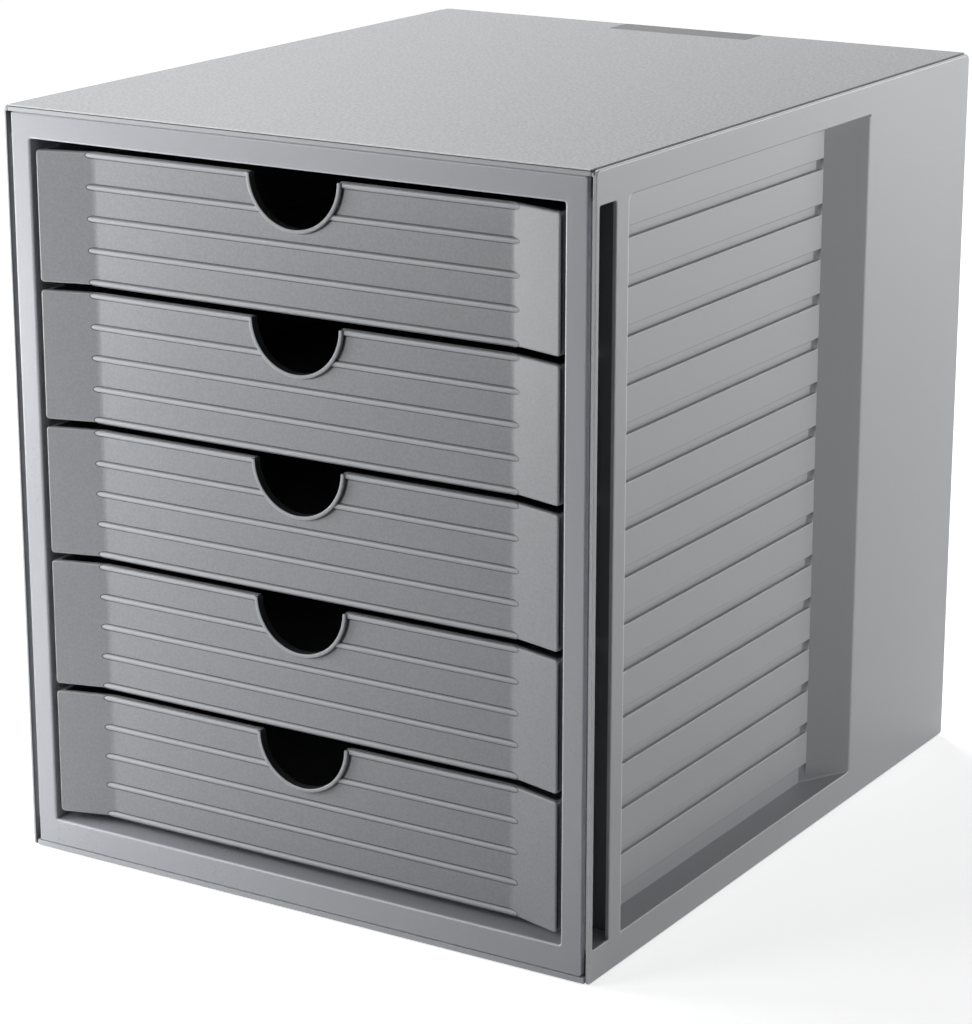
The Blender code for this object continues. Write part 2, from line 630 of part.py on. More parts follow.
def drawer_mesh():
    """One drawer in its own frame."""
    drawer = front_block()
    join(drawer, tray_block())
    cut(drawer, hollow("low_hollow", TRAY_HALF_WIDTH - TRAY_WALL, FRONT_LIP + TRAY_WALL,
                       TRAY_FLOOR_FILLET))
    cut(drawer, hollow("high_hollow", BAND_HALF_WIDTH - TRAY_WALL, LEDGE_Z + TRAY_WALL, 0))
    tip_x = FLAT_HALF_WIDTH + CROSS_RIB_PROUD * SLOPE_WIDTH / FRONT_HOLLOW + CROSS_RIB_ROOT / 2
    join(drawer, prism("ribs", cross_rib_outlines(), "X", -tip_x, tip_x))
    rim_top_z = DRAWER_HEIGHT - CROSS_RIB_INSET
    join(drawer, prism("rim", [grip_outline(GRIP_RADIUS + GRIP_RIM_WIDTH, rim_top_z)], "Y",
                       FRONT_HOLLOW - GRIP_RIM_PROUD, FRONT_HOLLOW + FRONT_WALL / 2))
    cut(drawer, prism("grip", [grip_outline(GRIP_RADIUS, DRAWER_HEIGHT)
                               + [(GRIP_RADIUS, DRAWER_HEIGHT + OVERRUN),
                                  (-GRIP_RADIUS, DRAWER_HEIGHT + OVERRUN)]], "Y",
                      FRONT_HOLLOW - GRIP_RIM_PROUD - OVERRUN, FRONT_HOLLOW + FRONT_WALL + OVERRUN))
    join(drawer, prism("lugs", lug_outlines(), "Y", LUG_FRONT_Y, LUG_REAR_Y))
    return drawer


def build_drawers(material):
    """Five equal drawers. Each has its origin at the lower edge of its front, on its slide."""
    pattern = drawer_mesh()
    finish(pattern, material)
    for number in range(1, DRAWER_COUNT + 1):
        drawer = bpy.data.objects.new(f"drawer_{number}", pattern.data)
        drawer.location = (0, DRAWER_FRONT_Y, drawer_low_z(number))
        bpy.context.collection.objects.link(drawer)
    bpy.data.objects.remove(pattern, do_unlink=True)


clear_scene()
housing = plastic("housing")
build_side_panels(housing)
build_top_panel(housing)
build_bottom_panel(housing)
build_back_panel(housing)
build_front_frame(plastic("frame"))
build_label_plate(plastic("label"))
build_feet(plastic("foot"))
build_drawers(plastic("drawer"))
bpy.context.view_layer.update()
print("drawer height", round(DRAWER_HEIGHT / MM, 2), "mm, travel", round(DRAWER_TRAVEL / MM, 2), "mm")
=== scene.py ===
# %% [markdown]
# # A closed desktop drawer box with five trays, dressed for its picture
#
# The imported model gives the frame: every length is in metres, the box stands on the desk with
# its front towards -Y, and each drawer is a body that slides out on its own. This script keeps
# that frame, works out the visible pieces as smooth surfaces around it, and gives each one the
# finish of the real moulding.

import json
import math

import bmesh
import bpy
import numpy as np
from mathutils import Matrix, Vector
from mathutils.geometry import tessellate_polygon

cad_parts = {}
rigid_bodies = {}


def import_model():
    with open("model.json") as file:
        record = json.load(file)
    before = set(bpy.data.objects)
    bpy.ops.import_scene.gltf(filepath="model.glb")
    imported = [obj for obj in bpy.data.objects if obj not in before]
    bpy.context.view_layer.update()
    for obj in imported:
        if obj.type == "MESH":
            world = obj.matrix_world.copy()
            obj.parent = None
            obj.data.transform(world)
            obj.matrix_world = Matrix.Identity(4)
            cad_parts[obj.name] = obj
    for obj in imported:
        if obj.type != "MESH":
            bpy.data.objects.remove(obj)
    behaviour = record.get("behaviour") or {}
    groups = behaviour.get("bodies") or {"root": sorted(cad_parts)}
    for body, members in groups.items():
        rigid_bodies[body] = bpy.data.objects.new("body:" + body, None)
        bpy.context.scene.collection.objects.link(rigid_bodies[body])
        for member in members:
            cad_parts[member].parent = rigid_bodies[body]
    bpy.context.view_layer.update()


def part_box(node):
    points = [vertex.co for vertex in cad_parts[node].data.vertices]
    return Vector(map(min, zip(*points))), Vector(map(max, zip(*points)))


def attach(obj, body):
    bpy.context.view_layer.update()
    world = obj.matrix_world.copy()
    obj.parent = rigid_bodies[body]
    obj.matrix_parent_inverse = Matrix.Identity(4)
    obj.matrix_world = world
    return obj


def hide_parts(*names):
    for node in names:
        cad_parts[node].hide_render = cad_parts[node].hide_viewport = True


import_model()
MM = 0.001

# %% [markdown]
# ## The camera
#
# The picture looks down on the box from the front right, from about a metre and a half away,
# with a long lens. The verticals of the picture are parallel, as a picture that was
# straightened afterwards has them. A camera that stands level could do that only with a very
# large lens shift, which would push the box out of every other view. So the camera is tilted
# down a little and has no shift: its place was fitted to the seven visible corners of the box,
# with all of them kept inside the frame.

# %% Set up the camera
CAMERA_PLACE = (0.7166, -1.1765, 0.5373)
CAMERA_YAW = 0.5541
CAMERA_PITCH = 0.2882
CAMERA_LENS = 115.4

camera = bpy.data.objects.new("camera", bpy.data.cameras.new("camera"))
camera.data.lens = CAMERA_LENS
camera.data.sensor_width = 36
camera.data.clip_start = 0.05
camera.location = CAMERA_PLACE
camera.rotation_euler = (math.pi / 2 - CAMERA_PITCH, 0, CAMERA_YAW)
bpy.context.scene.collection.objects.link(camera)
bpy.context.scene.camera = camera
bpy.context.scene.view_settings.view_transform = "Standard"
print("camera lens", CAMERA_LENS, "mm, pitch", round(math.degrees(CAMERA_PITCH), 1), "degrees")

# %% [markdown]
# ## Shader maths as Python expressions
#
# A finish is a small formula: a base colour, plus a little noise, times a wear mask. Blender
# keeps such a formula as nodes. The class below wraps one output socket, so that an ordinary
# expression such as `0.4 + 0.1 * grain` adds the Math nodes by itself. Every other node comes
# from one method, which takes the node's type, its settings and what goes into its sockets.

# %% A socket that can be calculated with
class Signal:
    """One output socket. Arithmetic on it adds Math nodes to the same material."""

    def __init__(self, tree, socket):
        self.tree = tree
        self.socket = socket

    def node(self, kind, settings=None, inputs=None, output=0):
        """Add a node of a type, set its settings, fill its sockets and return one output."""
        item = self.tree.nodes.new(kind)
        for key, value in (settings or {}).items():
            if key == "stops":
                while len(item.color_ramp.elements) < len(value):
                    item.color_ramp.elements.new(1)
                for element, (place, colour) in zip(item.color_ramp.elements, value):
                    element.position = place
                    element.color = colour
            else:
                setattr(item, key, value)
        for key, value in (inputs or {}).items():
            if isinstance(value, Signal):
                self.tree.links.new(value.socket, item.inputs[key])
            else:
                item.inputs[key].default_value = value
        return Signal(self.tree, item.outputs[output])

    def maths(self, operation, first, second=0.0):
        """One Math node on one or two values."""
        return self.node("ShaderNodeMath", {"operation": operation}, {0: first, 1: second})

    def __add__(self, other):
        return self.maths("ADD", self, other)

    __radd__ = __add__

    def __sub__(self, other):
        return self.maths("SUBTRACT", self, other)

    def __rsub__(self, other):
        return self.maths("SUBTRACT", other, self)

    def __mul__(self, other):
        return self.maths("MULTIPLY", self, other)

    __rmul__ = __mul__

    def within(self, low, high):
        """1 where the value lies between two numbers, 0 elsewhere."""
        return self.node("ShaderNodeMath", {"operation": "COMPARE"},
                         {0: self, 1: (low + high) / 2, 2: (high - low) / 2})

    def stretch(self, low, high):
        """The value spread out so that low becomes 0 and high becomes 1, cut off beyond."""
        return self.node("ShaderNodeMapRange", None, {"Value": self, 1: low, 2: high})

    def blend(self, low, high):
        """Mix two colours by this value."""
        return self.node("ShaderNodeMix", {"data_type": "RGBA"},
                         {0: self, 6: low, 7: high}, output=2)


# %% [markdown]
# ## The finishes
#
# The box is injection-moulded polystyrene. The steel moulds leave two skins: the lid and the
# drawer fronts carry a spark-eroded grain that shows as fine specks, and the sides and the
# bezel are satin. Both are one formula with other numbers. A fine noise, stretched to full
# contrast, makes the grain: it is the bump, and it lightens and roughens the skin speck by
# speck. A broad noise gives the uneven sheen of a large moulding. The attribute `edge`, which
# each new surface carries, is above 0 on its roundings: there the skin is rubbed smoother, and
# its colour is lightened, partly as wear and mostly as a painted highlight. It is below 0 in a
# crease: there the colour is darkened as painted shade. The cut front edges of the lid and the
# floor are smooth, so their grain starts a little behind.
#
# One place is darker than the lamps alone would make it: the narrow hollow between the bezel's
# sleeve and each side panel, which shows through the upright slots and is nearly black on the
# real box. Its walls are the same mouldings, so a mask on the object's own coordinates darkens
# their colour there nearly to black, as painted shade.

# %% Moulded plastic
GRAIN_DETAIL = 2.0
BROAD_SCALE = 14.0
GRAIN_LOW, GRAIN_HIGH = 0.36, 0.64
# painted shade: the hollow beside each slot is darkened nearly to black
HOLLOW_X, HOLLOW_Y, HOLLOW_Z = (0.1259, 0.13597), (-0.1621, -0.1417), (0.0144, 0.3160)
HOLLOW_SHADE_STRENGTH, HOLLOW_SHADE_COLOUR = 0.6, (0.004, 0.004, 0.005, 1)
GRAIN_ROUGH, BROAD_ROUGH = 0.08, 0.06
GRAIN_FADE = 0.1 * MM
# wear and painted highlight on roundings, painted shade in creases
WEAR_AND_HIGHLIGHT_TONE, CREASE_SHADE_TONE, CREASE_SHADE_STRENGTH = 2.1, 0.12, 0.85
EDGE_POLISH = 0.08


def tint(colour, factor):
    """A colour made lighter or darker."""
    return tuple(min(1.0, part * factor) for part in colour[:3]) + (1.0,)


def moulded(name, colour, roughness, grain_size, grain_depth, mottle, wear_and_highlight=0.2, speck=0.0,
            grain_from=-1.0):
    """A plastic skin: colour and roughness by broad and fine noise, bump by the fine noise.

    grain_from is the place along Y, in metres, behind which the grain starts.
    """
    material = bpy.data.materials.new(name)
    material.use_nodes = True
    tree = material.node_tree
    tree.nodes.clear()
    place = Signal(tree, tree.nodes.new("ShaderNodeTexCoord").outputs["Object"])
    axes = [place.node("ShaderNodeSeparateXYZ", None, {0: place}, axis) for axis in range(3)]
    edge = place.node("ShaderNodeAttribute", {"attribute_name": "edge"}, output="Fac")
    broad = place.node("ShaderNodeTexNoise", None,
                       {"Vector": place, "Scale": BROAD_SCALE, "Detail": 3.0})
    fine = place.node("ShaderNodeTexNoise", None,
                      {"Vector": place, "Scale": 1 / grain_size, "Detail": GRAIN_DETAIL})
    shown = axes[1].stretch(grain_from, grain_from + GRAIN_FADE)
    grain = 0.5 + (fine.stretch(GRAIN_LOW, GRAIN_HIGH) - 0.5) * shown
    tone = broad.blend(tint(colour, 1 - mottle), tint(colour, 1 + mottle))
    skin = place.node("ShaderNodeMix", {"data_type": "RGBA", "blend_type": "MULTIPLY"},
                      {0: 1.0, 6: tone,
                       7: grain.blend((1 - speck,) * 3 + (1,), (1 + speck,) * 3 + (1,))}, 2)
    # the attribute edge lightens roundings (wear and painted highlight) and darkens creases (painted
    # shade)
    worn_and_highlit = (edge * wear_and_highlight).blend(skin, tint(colour, WEAR_AND_HIGHLIGHT_TONE))
    crease_shaded = (edge * -CREASE_SHADE_STRENGTH).blend(worn_and_highlit, tint(colour, CREASE_SHADE_TONE))
    # painted shade: inside the hollow's box the colour goes nearly black
    hollow_shade = (axes[0].maths("ABSOLUTE", axes[0]).within(*HOLLOW_X)
              * axes[1].within(*HOLLOW_Y) * axes[2].within(*HOLLOW_Z))
    final = (hollow_shade * HOLLOW_SHADE_STRENGTH).blend(crease_shaded, HOLLOW_SHADE_COLOUR)
    rough = (roughness + GRAIN_ROUGH * (grain - 0.5) + BROAD_ROUGH * (broad - 0.5)
             - EDGE_POLISH * edge.stretch(0.0, 1.0))
    bump = place.node("ShaderNodeBump", None,
                      {"Height": grain, "Strength": 1.0, "Distance": grain_depth})
    shader = tree.nodes.new("ShaderNodeBsdfPrincipled")
    for socket, value in (("Base Color", final), ("Roughness", rough), ("Normal", bump)):
        tree.links.new(value.socket, shader.inputs[socket])
    output = tree.nodes.new("ShaderNodeOutputMaterial")
    tree.links.new(shader.outputs[0], output.inputs["Surface"])
    return material


SHELL_GREY = (0.458, 0.472, 0.494)
BEZEL_GREY = (0.412, 0.424, 0.452)
DRAWER_GREY = (0.262, 0.270, 0.285)
grained_shell = moulded("grained_shell", SHELL_GREY, 0.50, 1.3 * MM, 0.04 * MM, 0.02, 0.45, 0.18,
                        grain_from=-164.5 * MM)
satin_shell = moulded("satin_shell", SHELL_GREY, 0.40, 0.9 * MM, 0.006 * MM, 0.02, 0.45, 0.01)
satin_bezel = moulded("satin_bezel", BEZEL_GREY, 0.32, 0.9 * MM, 0.004 * MM, 0.015, 0.35, 0.01)
grained_drawer = moulded("grained_drawer", DRAWER_GREY, 0.42, 0.9 * MM, 0.018 * MM, 0.02,
                         speck=0.065)
label_skin = moulded("label_skin", (0.11, 0.115, 0.12), 0.45, 0.6 * MM, 0.01 * MM, 0.04, speck=0.1)
foot_rubber = moulded("foot_rubber", (0.03, 0.03, 0.032), 0.8, 0.6 * MM, 0.05 * MM, 0.1, speck=0.2)
print("finishes:", len(bpy.data.materials))

# %% [markdown]
# ## How a skin is made
#
# Every visible piece is one closed skin. It could be pushed and pulled by hand, or cut from
# boxes with Booleans, but then each rounding is a separate worry. Here a skin is worked out as
# numbers instead: rings of points, each ring an outline that a profile draws in or lets out at a
# certain depth. The class below gathers such rings, puts quads between them, fills flat ends,
# and welds everything into one mesh. Lengths are in millimetres until the mesh is made.
#
# Each point also carries one number, `edge`: 0 on a flat, from about 0.5 to 5 on a rounding, the
# higher the brighter its painted highlight, and about -1 in a crease. The finishes read it to
# lighten the edges with wear and painted highlight, and to darken the creases with painted shade.

# %% Gather rings and fills into one mesh
WELD = 0.0006
SHARP_DEGREES, FLAT_WEIGHT = 26, 90
scene_objects = bpy.context.scene.collection.objects


class Skin:
    """Points, faces and edge values of one piece, in millimetres."""

    def __init__(self):
        self.points = []
        self.painted_light_and_shade = []
        self.faces = []
        self.count = 0

    def add(self, points, edge=0.0):
        """Take in an array of points (..., 3) and return their numbers in the same shape."""
        points = np.asarray(points, float)
        number = self.count + np.arange(points[..., 0].size).reshape(points.shape[:-1])
        self.points.append(points.reshape(-1, 3))
        self.painted_light_and_shade.append(np.broadcast_to(edge, number.shape).reshape(-1))
        self.count += number.size
        return number

    def band(self, number, around=True):
        """Put quads between neighbouring rows; around joins each row's end to its start."""
        here, there = (number, np.roll(number, -1, axis=1)) if around else (
            number[:, :-1], number[:, 1:])
        quads = np.stack([here[:-1], there[:-1], there[1:], here[1:]], axis=-1)
        self.faces += quads.reshape(-1, 4).tolist()

    def fill(self, *parts):
        """One flat face round the points of all parts, in their order."""
        self.faces.append(np.concatenate([np.ravel(part) for part in parts]).tolist())

    def fill_with_holes(self, loops, axes):
        """Triangles between an outer loop and the loops of its holes, in the plane of two axes."""
        everything = np.concatenate(self.points)
        flat = [[Vector((*point, 0)) for point in everything[loop][:, axes].tolist()]
                for loop in loops]
        number = np.concatenate(loops)
        self.faces += number[np.array(tessellate_polygon(flat))].tolist()

    def rings(self, outlines, depths, place, edge=0.0):
        """Add a stack of outlines (rings, points, 2), each at its depth, and quads between them."""
        depths = np.asarray(depths, float)[:, None] + np.zeros(outlines.shape[:2])
        edge = np.atleast_1d(np.asarray(edge, float))
        edge = edge.reshape(len(edge), -1) + np.zeros(outlines.shape[:2])
        number = self.add(place(outlines[..., 0], outlines[..., 1], depths), edge)
        self.band(number)
        return number

    def piece(self, name, body, material, slot, replaces, mirror=False):
        """Weld the skin, turn its faces out, shade it and let it ride on its body."""
        points = np.concatenate(self.points) * MM * ((-1, 1, 1) if mirror else (1, 1, 1))
        mesh = bpy.data.meshes.new(name)
        mesh.from_pydata(points.tolist(), [], self.faces)
        painted_light_and_shade = mesh.attributes.new("edge", "FLOAT", "POINT")
        painted_light_and_shade.data.foreach_set("value", np.concatenate(self.painted_light_and_shade))
        bm = bmesh.new()
        bm.from_mesh(mesh)
        bmesh.ops.remove_doubles(bm, verts=bm.verts, dist=WELD * MM)
        bmesh.ops.dissolve_degenerate(bm, edges=bm.edges, dist=WELD * MM)
        bmesh.ops.recalc_face_normals(bm, faces=bm.faces)
        open_edges = sum(not edge.is_manifold for edge in bm.edges)
        bm.to_mesh(mesh)
        bm.free()
        mesh.materials.append(material)
        mesh.shade_smooth()
        mesh.set_sharp_from_angle(angle=math.radians(SHARP_DEGREES))
        item = bpy.data.objects.new(name, mesh)
        scene_objects.link(item)
        normals = item.modifiers.new("flat_faces_stay_flat", "WEIGHTED_NORMAL")
        normals.weight = FLAT_WEIGHT
        normals.keep_sharp = True
        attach(item, body)
        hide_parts(replaces)
        print(f"{name}: {len(mesh.polygons)} faces, {open_edges} open edges")
        return item


# %% [markdown]
# ## Outlines and profiles
#
# Nearly all outlines on this box are rectangles with rounded corners: the bezel, the slot, the
# sunk field, the lid. One function gives such an outline, drawn in by any inset: the straight
# sides move in and the corner arcs get smaller round the same centres. The profile of a rounded
# edge is then a quarter circle of insets and depths.

# %% Outline and quarter-round
TINY = 0.01
FRONT, REAR, TOP = -165.0, 165.0, 320.0


def join(*coordinates):
    """Coordinates, each a number or an array, side by side as one array of points."""
    return np.stack(np.broadcast_arrays(*coordinates), axis=-1)


def rounded_loop(u_low, u_high, v_low, v_high, radii, inset=0.0, between=None, steps=6):
    """Rings of points (rings, points, 2) round a rectangle with rounded corners.

    The corners come in the order low-low, high-low, high-high, low-high. A corner of radius r
    has its centre r inside the rectangle and, for an inset d, an arc of radius r - d round it;
    past d = r the corner is as good as sharp and moves in with the sides. between gives, for a
    corner's number, points (rings, points, 2) that follow that corner's arc along the next side.
    """
    inset = np.atleast_1d(np.asarray(inset, float))[:, None]
    sides = [np.atleast_1d(np.asarray(side, float))[:, None] for side in
             (u_low, u_high, v_low, v_high)]
    quarter = np.radians(np.linspace(0, 90, steps + 1))
    parts = []
    for corner, radius in enumerate(radii):
        arc = np.maximum(radius - inset, TINY)
        centre = np.maximum(radius, inset + TINY)
        u = sides[0] + centre if corner in (0, 3) else sides[1] - centre
        v = sides[2] + centre if corner in (0, 1) else sides[3] - centre
        angle = quarter + math.radians(180 + 90 * corner)
        parts.append(join(u + arc * np.cos(angle), v + arc * np.sin(angle)))
        if between and corner in between:
            parts.append(between[corner])
    rings = max(part.shape[0] for part in parts)
    return np.concatenate([np.broadcast_to(part, (rings, *part.shape[1:])) for part in parts], axis=1)


def quarter_round(radius, steps=5):
    """Insets, depths and edge values from a face over a rounding to the wall beside it.

    At the angle a the inset is r (1 - sin a), the depth is r (1 - cos a), and the edge value is
    sin 2a, which is 0 where the arc meets the flats and 1 half-way.
    """
    angle = np.radians(np.linspace(0, 90, steps + 1))
    return radius * (1 - np.sin(angle)), radius * (1 - np.cos(angle)), np.sin(2 * angle)


def block(skin, low, high, radius=0.3, steps=4):
    """A small block with rounded edges: a rounded outline, drawn in at both ends."""
    inset, depth, edge = quarter_round(radius, steps)
    inset = np.concatenate([inset, inset[::-1]])
    height = np.concatenate([low[2] + depth, high[2] - depth[::-1]])
    outline = rounded_loop(low[0], high[0], low[1], high[1], [radius] * 4, inset, steps=steps)
    number = skin.rings(outline, height, join, np.concatenate([edge, edge[::-1]]))
    skin.fill(number[0])
    skin.fill(number[-1])


def upright(u, v, w):
    """An outline in the plane of the front, w behind it."""
    return join(u, FRONT + w, v)


print("a rounded outline has", rounded_loop(0, 10, 0, 10, [1] * 4).shape[1], "points")

# %% [markdown]
# ## The bezel
#
# The front frame is a shallow channel with a sleeve that reaches back round the drawers. It
# could be extruded and cut, but its section is the same all the way round, so it is a profile
# carried along two rounded outlines: the opening's and the frame's own. The edge towards the
# drawers has the larger rounding, which with a painted highlight gives the bright line along the
# opening. The outer edge carries a painted highlight, brightest on its right side and none on its
# left, and the wall of its flange is painted lighter, as painted light.

# %% Front frame
OPENING = (-124.45, 124.45, 14.8, 307.0)
BEZEL = (-133.75, 133.75, 3.45, 317.4)
OPENING_RADIUS = 0.9
BEZEL_RADIUS = 1.2
BEZEL_WALL = 1.8
SLEEVE_DEPTH = 20.0
BEZEL_FLANGE = 2.8
OPENING_ROUNDING, OUTER_ROUNDING = 1.0, 0.9
# painted light: a painted highlight on the outer edge, strongest on the right side and none on the
# left, and a lighter flange wall
FLANGE_PAINTED_LIGHT, RIGHT_EDGE_HIGHLIGHT, LEFT_EDGE_HIGHLIGHT = 1.2, 2.5, 0.0
# the points of an outline that lie at the ends of its right side and of its left side
RIGHT_SIDE, LEFT_SIDE = [12, 13, 14, 15], [0, -1]


def build_bezel():
    """Rings from the sleeve's rear, over the front, round the outer edge and back inside."""
    skin = Skin()
    inset, depth, edge = quarter_round(OPENING_ROUNDING, 8)
    outset, outer_depth, outer_edge = quarter_round(OUTER_ROUNDING, 6)
    inner = rounded_loop(*OPENING, [OPENING_RADIUS] * 4,
                         np.concatenate([[0], -inset[::-1], [-BEZEL_WALL, -BEZEL_WALL]]))
    outer = rounded_loop(*BEZEL, [BEZEL_RADIUS] * 4,
                         np.concatenate([outset, [0, BEZEL_WALL, BEZEL_WALL]]))
    outlines = np.concatenate([inner[:-2], outer, inner[-2:], inner[:1]])
    depths = np.concatenate([[SLEEVE_DEPTH], depth[::-1], outer_depth,
                             [BEZEL_FLANGE, BEZEL_FLANGE, BEZEL_WALL],
                             [BEZEL_WALL, SLEEVE_DEPTH], [SLEEVE_DEPTH]])
    edges = np.concatenate([[0], edge[::-1], outer_edge[:-1], [FLANGE_PAINTED_LIGHT] * 2, [0] * 5])
    light_and_shade_scale = np.ones(outlines.shape[:2])
    outside = slice(len(inner) - 2, len(inner) + len(outer) - 4)
    light_and_shade_scale[outside, RIGHT_SIDE] = RIGHT_EDGE_HIGHLIGHT
    light_and_shade_scale[outside, LEFT_SIDE] = LEFT_EDGE_HIGHLIGHT
    skin.rings(outlines, depths, upright, edges[:, None] * light_and_shade_scale)
    return skin


build_bezel().piece("front_frame_skin", "housing", satin_bezel, "frame_plastic", "front_frame")

# %% [markdown]
# ## The side panels
#
# Each side is one moulding: a thin sheet with an upright slot near the front, and behind it a
# large field of fifteen boards that is sunk by eleven millimetres. The grooves between the
# boards are the backs of the runners inside. The field ends in a ramp that rises to the sheet.
#
# The sheet is flat, so its face is simply filled between three outlines: its own, the slot's
# and the field's. Round each of them runs a rounding. The boards and grooves are one comb-like
# profile that is carried from the front wall back to the ramp. The inner skin of the field is
# the same function with everything grown by the wall, so the wall is even.
#
# Small blocks complete the moulding: a sill and an upright return behind the slot, a corner
# that closes the top of the groove beside the bezel, and the five stops for the drawers.

# %% Side panel
SHEET_OUT = 137.5
SHEET_IN = 135.95
PANEL_WALL = SHEET_OUT - SHEET_IN
PANEL_OUTLINE = (FRONT, REAR, 0.8, TOP - 0.35)
PANEL_RADII = (1.3, 1.3, 2.8, 2.8)
PANEL_ROUNDING, INNER_ROUNDING = 0.8, 0.2
# painted highlights on the rims of the sheet, slot and field, and painted shade along the field's top
# rounding
TOP_RIM_HIGHLIGHT, END_HIGHLIGHT, FRONT_HIGHLIGHT, PLAIN_HIGHLIGHT = 5.0, 2.5, 1.6, 0.6
HIGHLIGHT_MARGIN, UPPER_PAINTED_SHADE = 0.6, -0.8
SLOT = (-162.4, -149.9, 14.5, 306.4)
FIELD_FRONT, FIELD_LOW, FIELD_HIGH = -140.4, 14.4, 306.9
FIELD_RADII = (1.2, 1.0, 1.0, 2.8)
BOARD_X, GROOVE_X = 126.4, 124.6
RAMP_FOOT, RAMP_TOP = 43.8, 64.8
LIP = 0.5
GROOVE_HALF = 2.25
GROOVE_COUNT = 15
DRAWER_COUNT, DRAWER_PITCH = 5, 57.44
FIRST_GROOVE, GROOVE_PITCH = 288.5, DRAWER_PITCH / 3
BOARD_ROUNDING = 0.3
RAMP_BEND = 1.07
SLOT_SILL = (126.8, -161.5, 13.0), (136.2, -142.2, 14.3)
SLOT_RETURN = (134.0, -162.4, 13.0), (136.2, -161.8, 308.0)
GROOVE_CORNER = (135.3, -164.9, 317.4), (136.2, -163.6, 318.8)
STOP_X, STOP_Y, STOP_HALF = (123.3, 125.6), (-141.9, -138.95), 9.6


def sideways(u, v, w):
    """An outline in the plane of the side, at the distance w from the middle of the box."""
    return join(w, u, v)


def ramp_y(x, wall):
    """Depth at which the ramp, moved back by a wall, crosses a distance x from the middle."""
    rise, run = SHEET_OUT - BOARD_X, RAMP_TOP - RAMP_FOOT
    return RAMP_FOOT + (x - BOARD_X) * run / rise + wall * math.hypot(rise, run) / rise


def comb(wall):
    """The section of boards and grooves (points, 2) as distance and height, from the top down.

    Every groove has a rounding of the board above, painted dark as shade in the crease, its two
    walls, and a rounding of the board below, painted lighter as a highlight. Rows are grooves, so
    the last one can be cut short at its floor.
    """
    inset, depth, edge = quarter_round(BOARD_ROUNDING, 4)
    middle = FIRST_GROOVE - GROOVE_PITCH * np.arange(GROOVE_COUNT)[:, None]
    half = GROOVE_HALF + wall
    height = np.concatenate([half + inset, [half, -half], -(half + inset[::-1])])
    across = np.concatenate([BOARD_X - wall - depth, [GROOVE_X - wall] * 2,
                             BOARD_X - wall - depth[::-1]])
    points = join(across, middle + height)
    return points, np.concatenate([-np.sign(inset[0] - inset), [0, 0], edge[::-1]])


def add_field(skin, wall, start_x, lip):
    """The sunk field from its lip down to boards, grooves and ramp. Returns its first ring.

    At the rear the lip bends into the ramp. With t the root of the depth over the lip, its
    place is (1 - t)^2 times the start, plus 2 t (1 - t) times the corner, plus t^2 times the
    end, which leaves along the sheet and arrives along the ramp.
    """
    steps = 6
    points, edge = comb(wall)
    rows = points.shape[1]
    upper = rows // 2
    radii = [radius + wall for radius in FIELD_RADII]
    stations = np.sort(np.concatenate([points[:, 0, 1], points[:-1, -1, 1]]))

    if lip:
        inset, depth, lip_edge = quarter_round(lip, steps)
        bend = np.sqrt(depth / lip)
        start, corner, end = RAMP_TOP + RAMP_BEND, RAMP_TOP, ramp_y(start_x - lip, wall)
        rear = (1 - bend) ** 2 * start + 2 * bend * (1 - bend) * corner + bend ** 2 * end
    else:
        inset = depth = lip_edge = np.zeros(1)
        rear = np.array([ramp_y(start_x, wall)])
    distance = np.append(start_x - depth, BOARD_X - wall)
    inset, lip_edge = np.append(-inset, 0.0), np.append(lip_edge, 0.0)
    rear = np.append(rear, ramp_y(BOARD_X - wall, wall))
    if lip:
        distance = np.append(start_x, distance)
        inset = np.append(inset[0] - HIGHLIGHT_MARGIN, inset)
        lip_edge = np.append(0.0, lip_edge)
        rear = np.append(rear[0] + HIGHLIGHT_MARGIN, rear)

    between = {1: join(rear[:, None], stations),
               3: join(FIELD_FRONT - wall + inset[:, None], stations)[:, ::-1]}
    outline = rounded_loop(FIELD_FRONT - wall, rear + inset, FIELD_LOW - wall, FIELD_HIGH + wall,
                           radii, inset, between, steps)
    at_front = outline[..., 0] < FIELD_FRONT + 1
    at_top = outline[..., 1] > FIELD_HIGH - 1
    light_and_shade_scale = np.where(at_front, FRONT_HIGHLIGHT, np.where(at_top, UPPER_PAINTED_SHADE, PLAIN_HIGHLIGHT))
    light_and_shade_scale = lip_edge[:, None] * light_and_shade_scale
    if lip:
        light_and_shade_scale[1, at_front[1]] = FRONT_HIGHLIGHT
    ring = skin.rings(outline, distance, sideways, light_and_shade_scale)

    comb_points = points.reshape(-1, 2)[:GROOVE_COUNT * rows - upper]
    comb_edge = np.tile(edge, GROOVE_COUNT)[:len(comb_points)]
    ends = join(FIELD_FRONT - wall, ramp_y(comb_points[:, 0], wall))
    number = skin.add(join(comb_points[:, :1], ends, comb_points[:, 1:]), comb_edge[:, None])
    skin.band(number, around=False)
    for groove in range(GROOVE_COUNT - 1):
        for end in (0, 1):
            skin.fill(number[groove * rows:(groove + 1) * rows, end])

    corners = 2 * (steps + 1)
    lowest = rounded_loop(FIELD_FRONT - wall, ramp_y(GROOVE_X - wall, wall), FIELD_LOW - wall,
                          FIELD_HIGH + wall, radii, 0.0, None, steps)[:, :corners]
    low_ring = skin.add(sideways(lowest[..., 0], lowest[..., 1], GROOVE_X - wall))
    skin.band(np.concatenate([ring[-1:, :corners], low_ring]), around=False)
    last = number[(GROOVE_COUNT - 1) * rows:]
    skin.fill(low_ring[0], last[-1, 1], last[-1, 0])
    skin.fill(last[:, 0], low_ring[0, 0], ring[-1, 0])
    skin.fill(last[:, 1], low_ring[0, -1], ring[-1, corners - 1])
    top_start = corners + len(stations)
    skin.fill(number[0, 1], ring[-1, top_start:top_start + corners], number[0, 0])
    return ring[0]


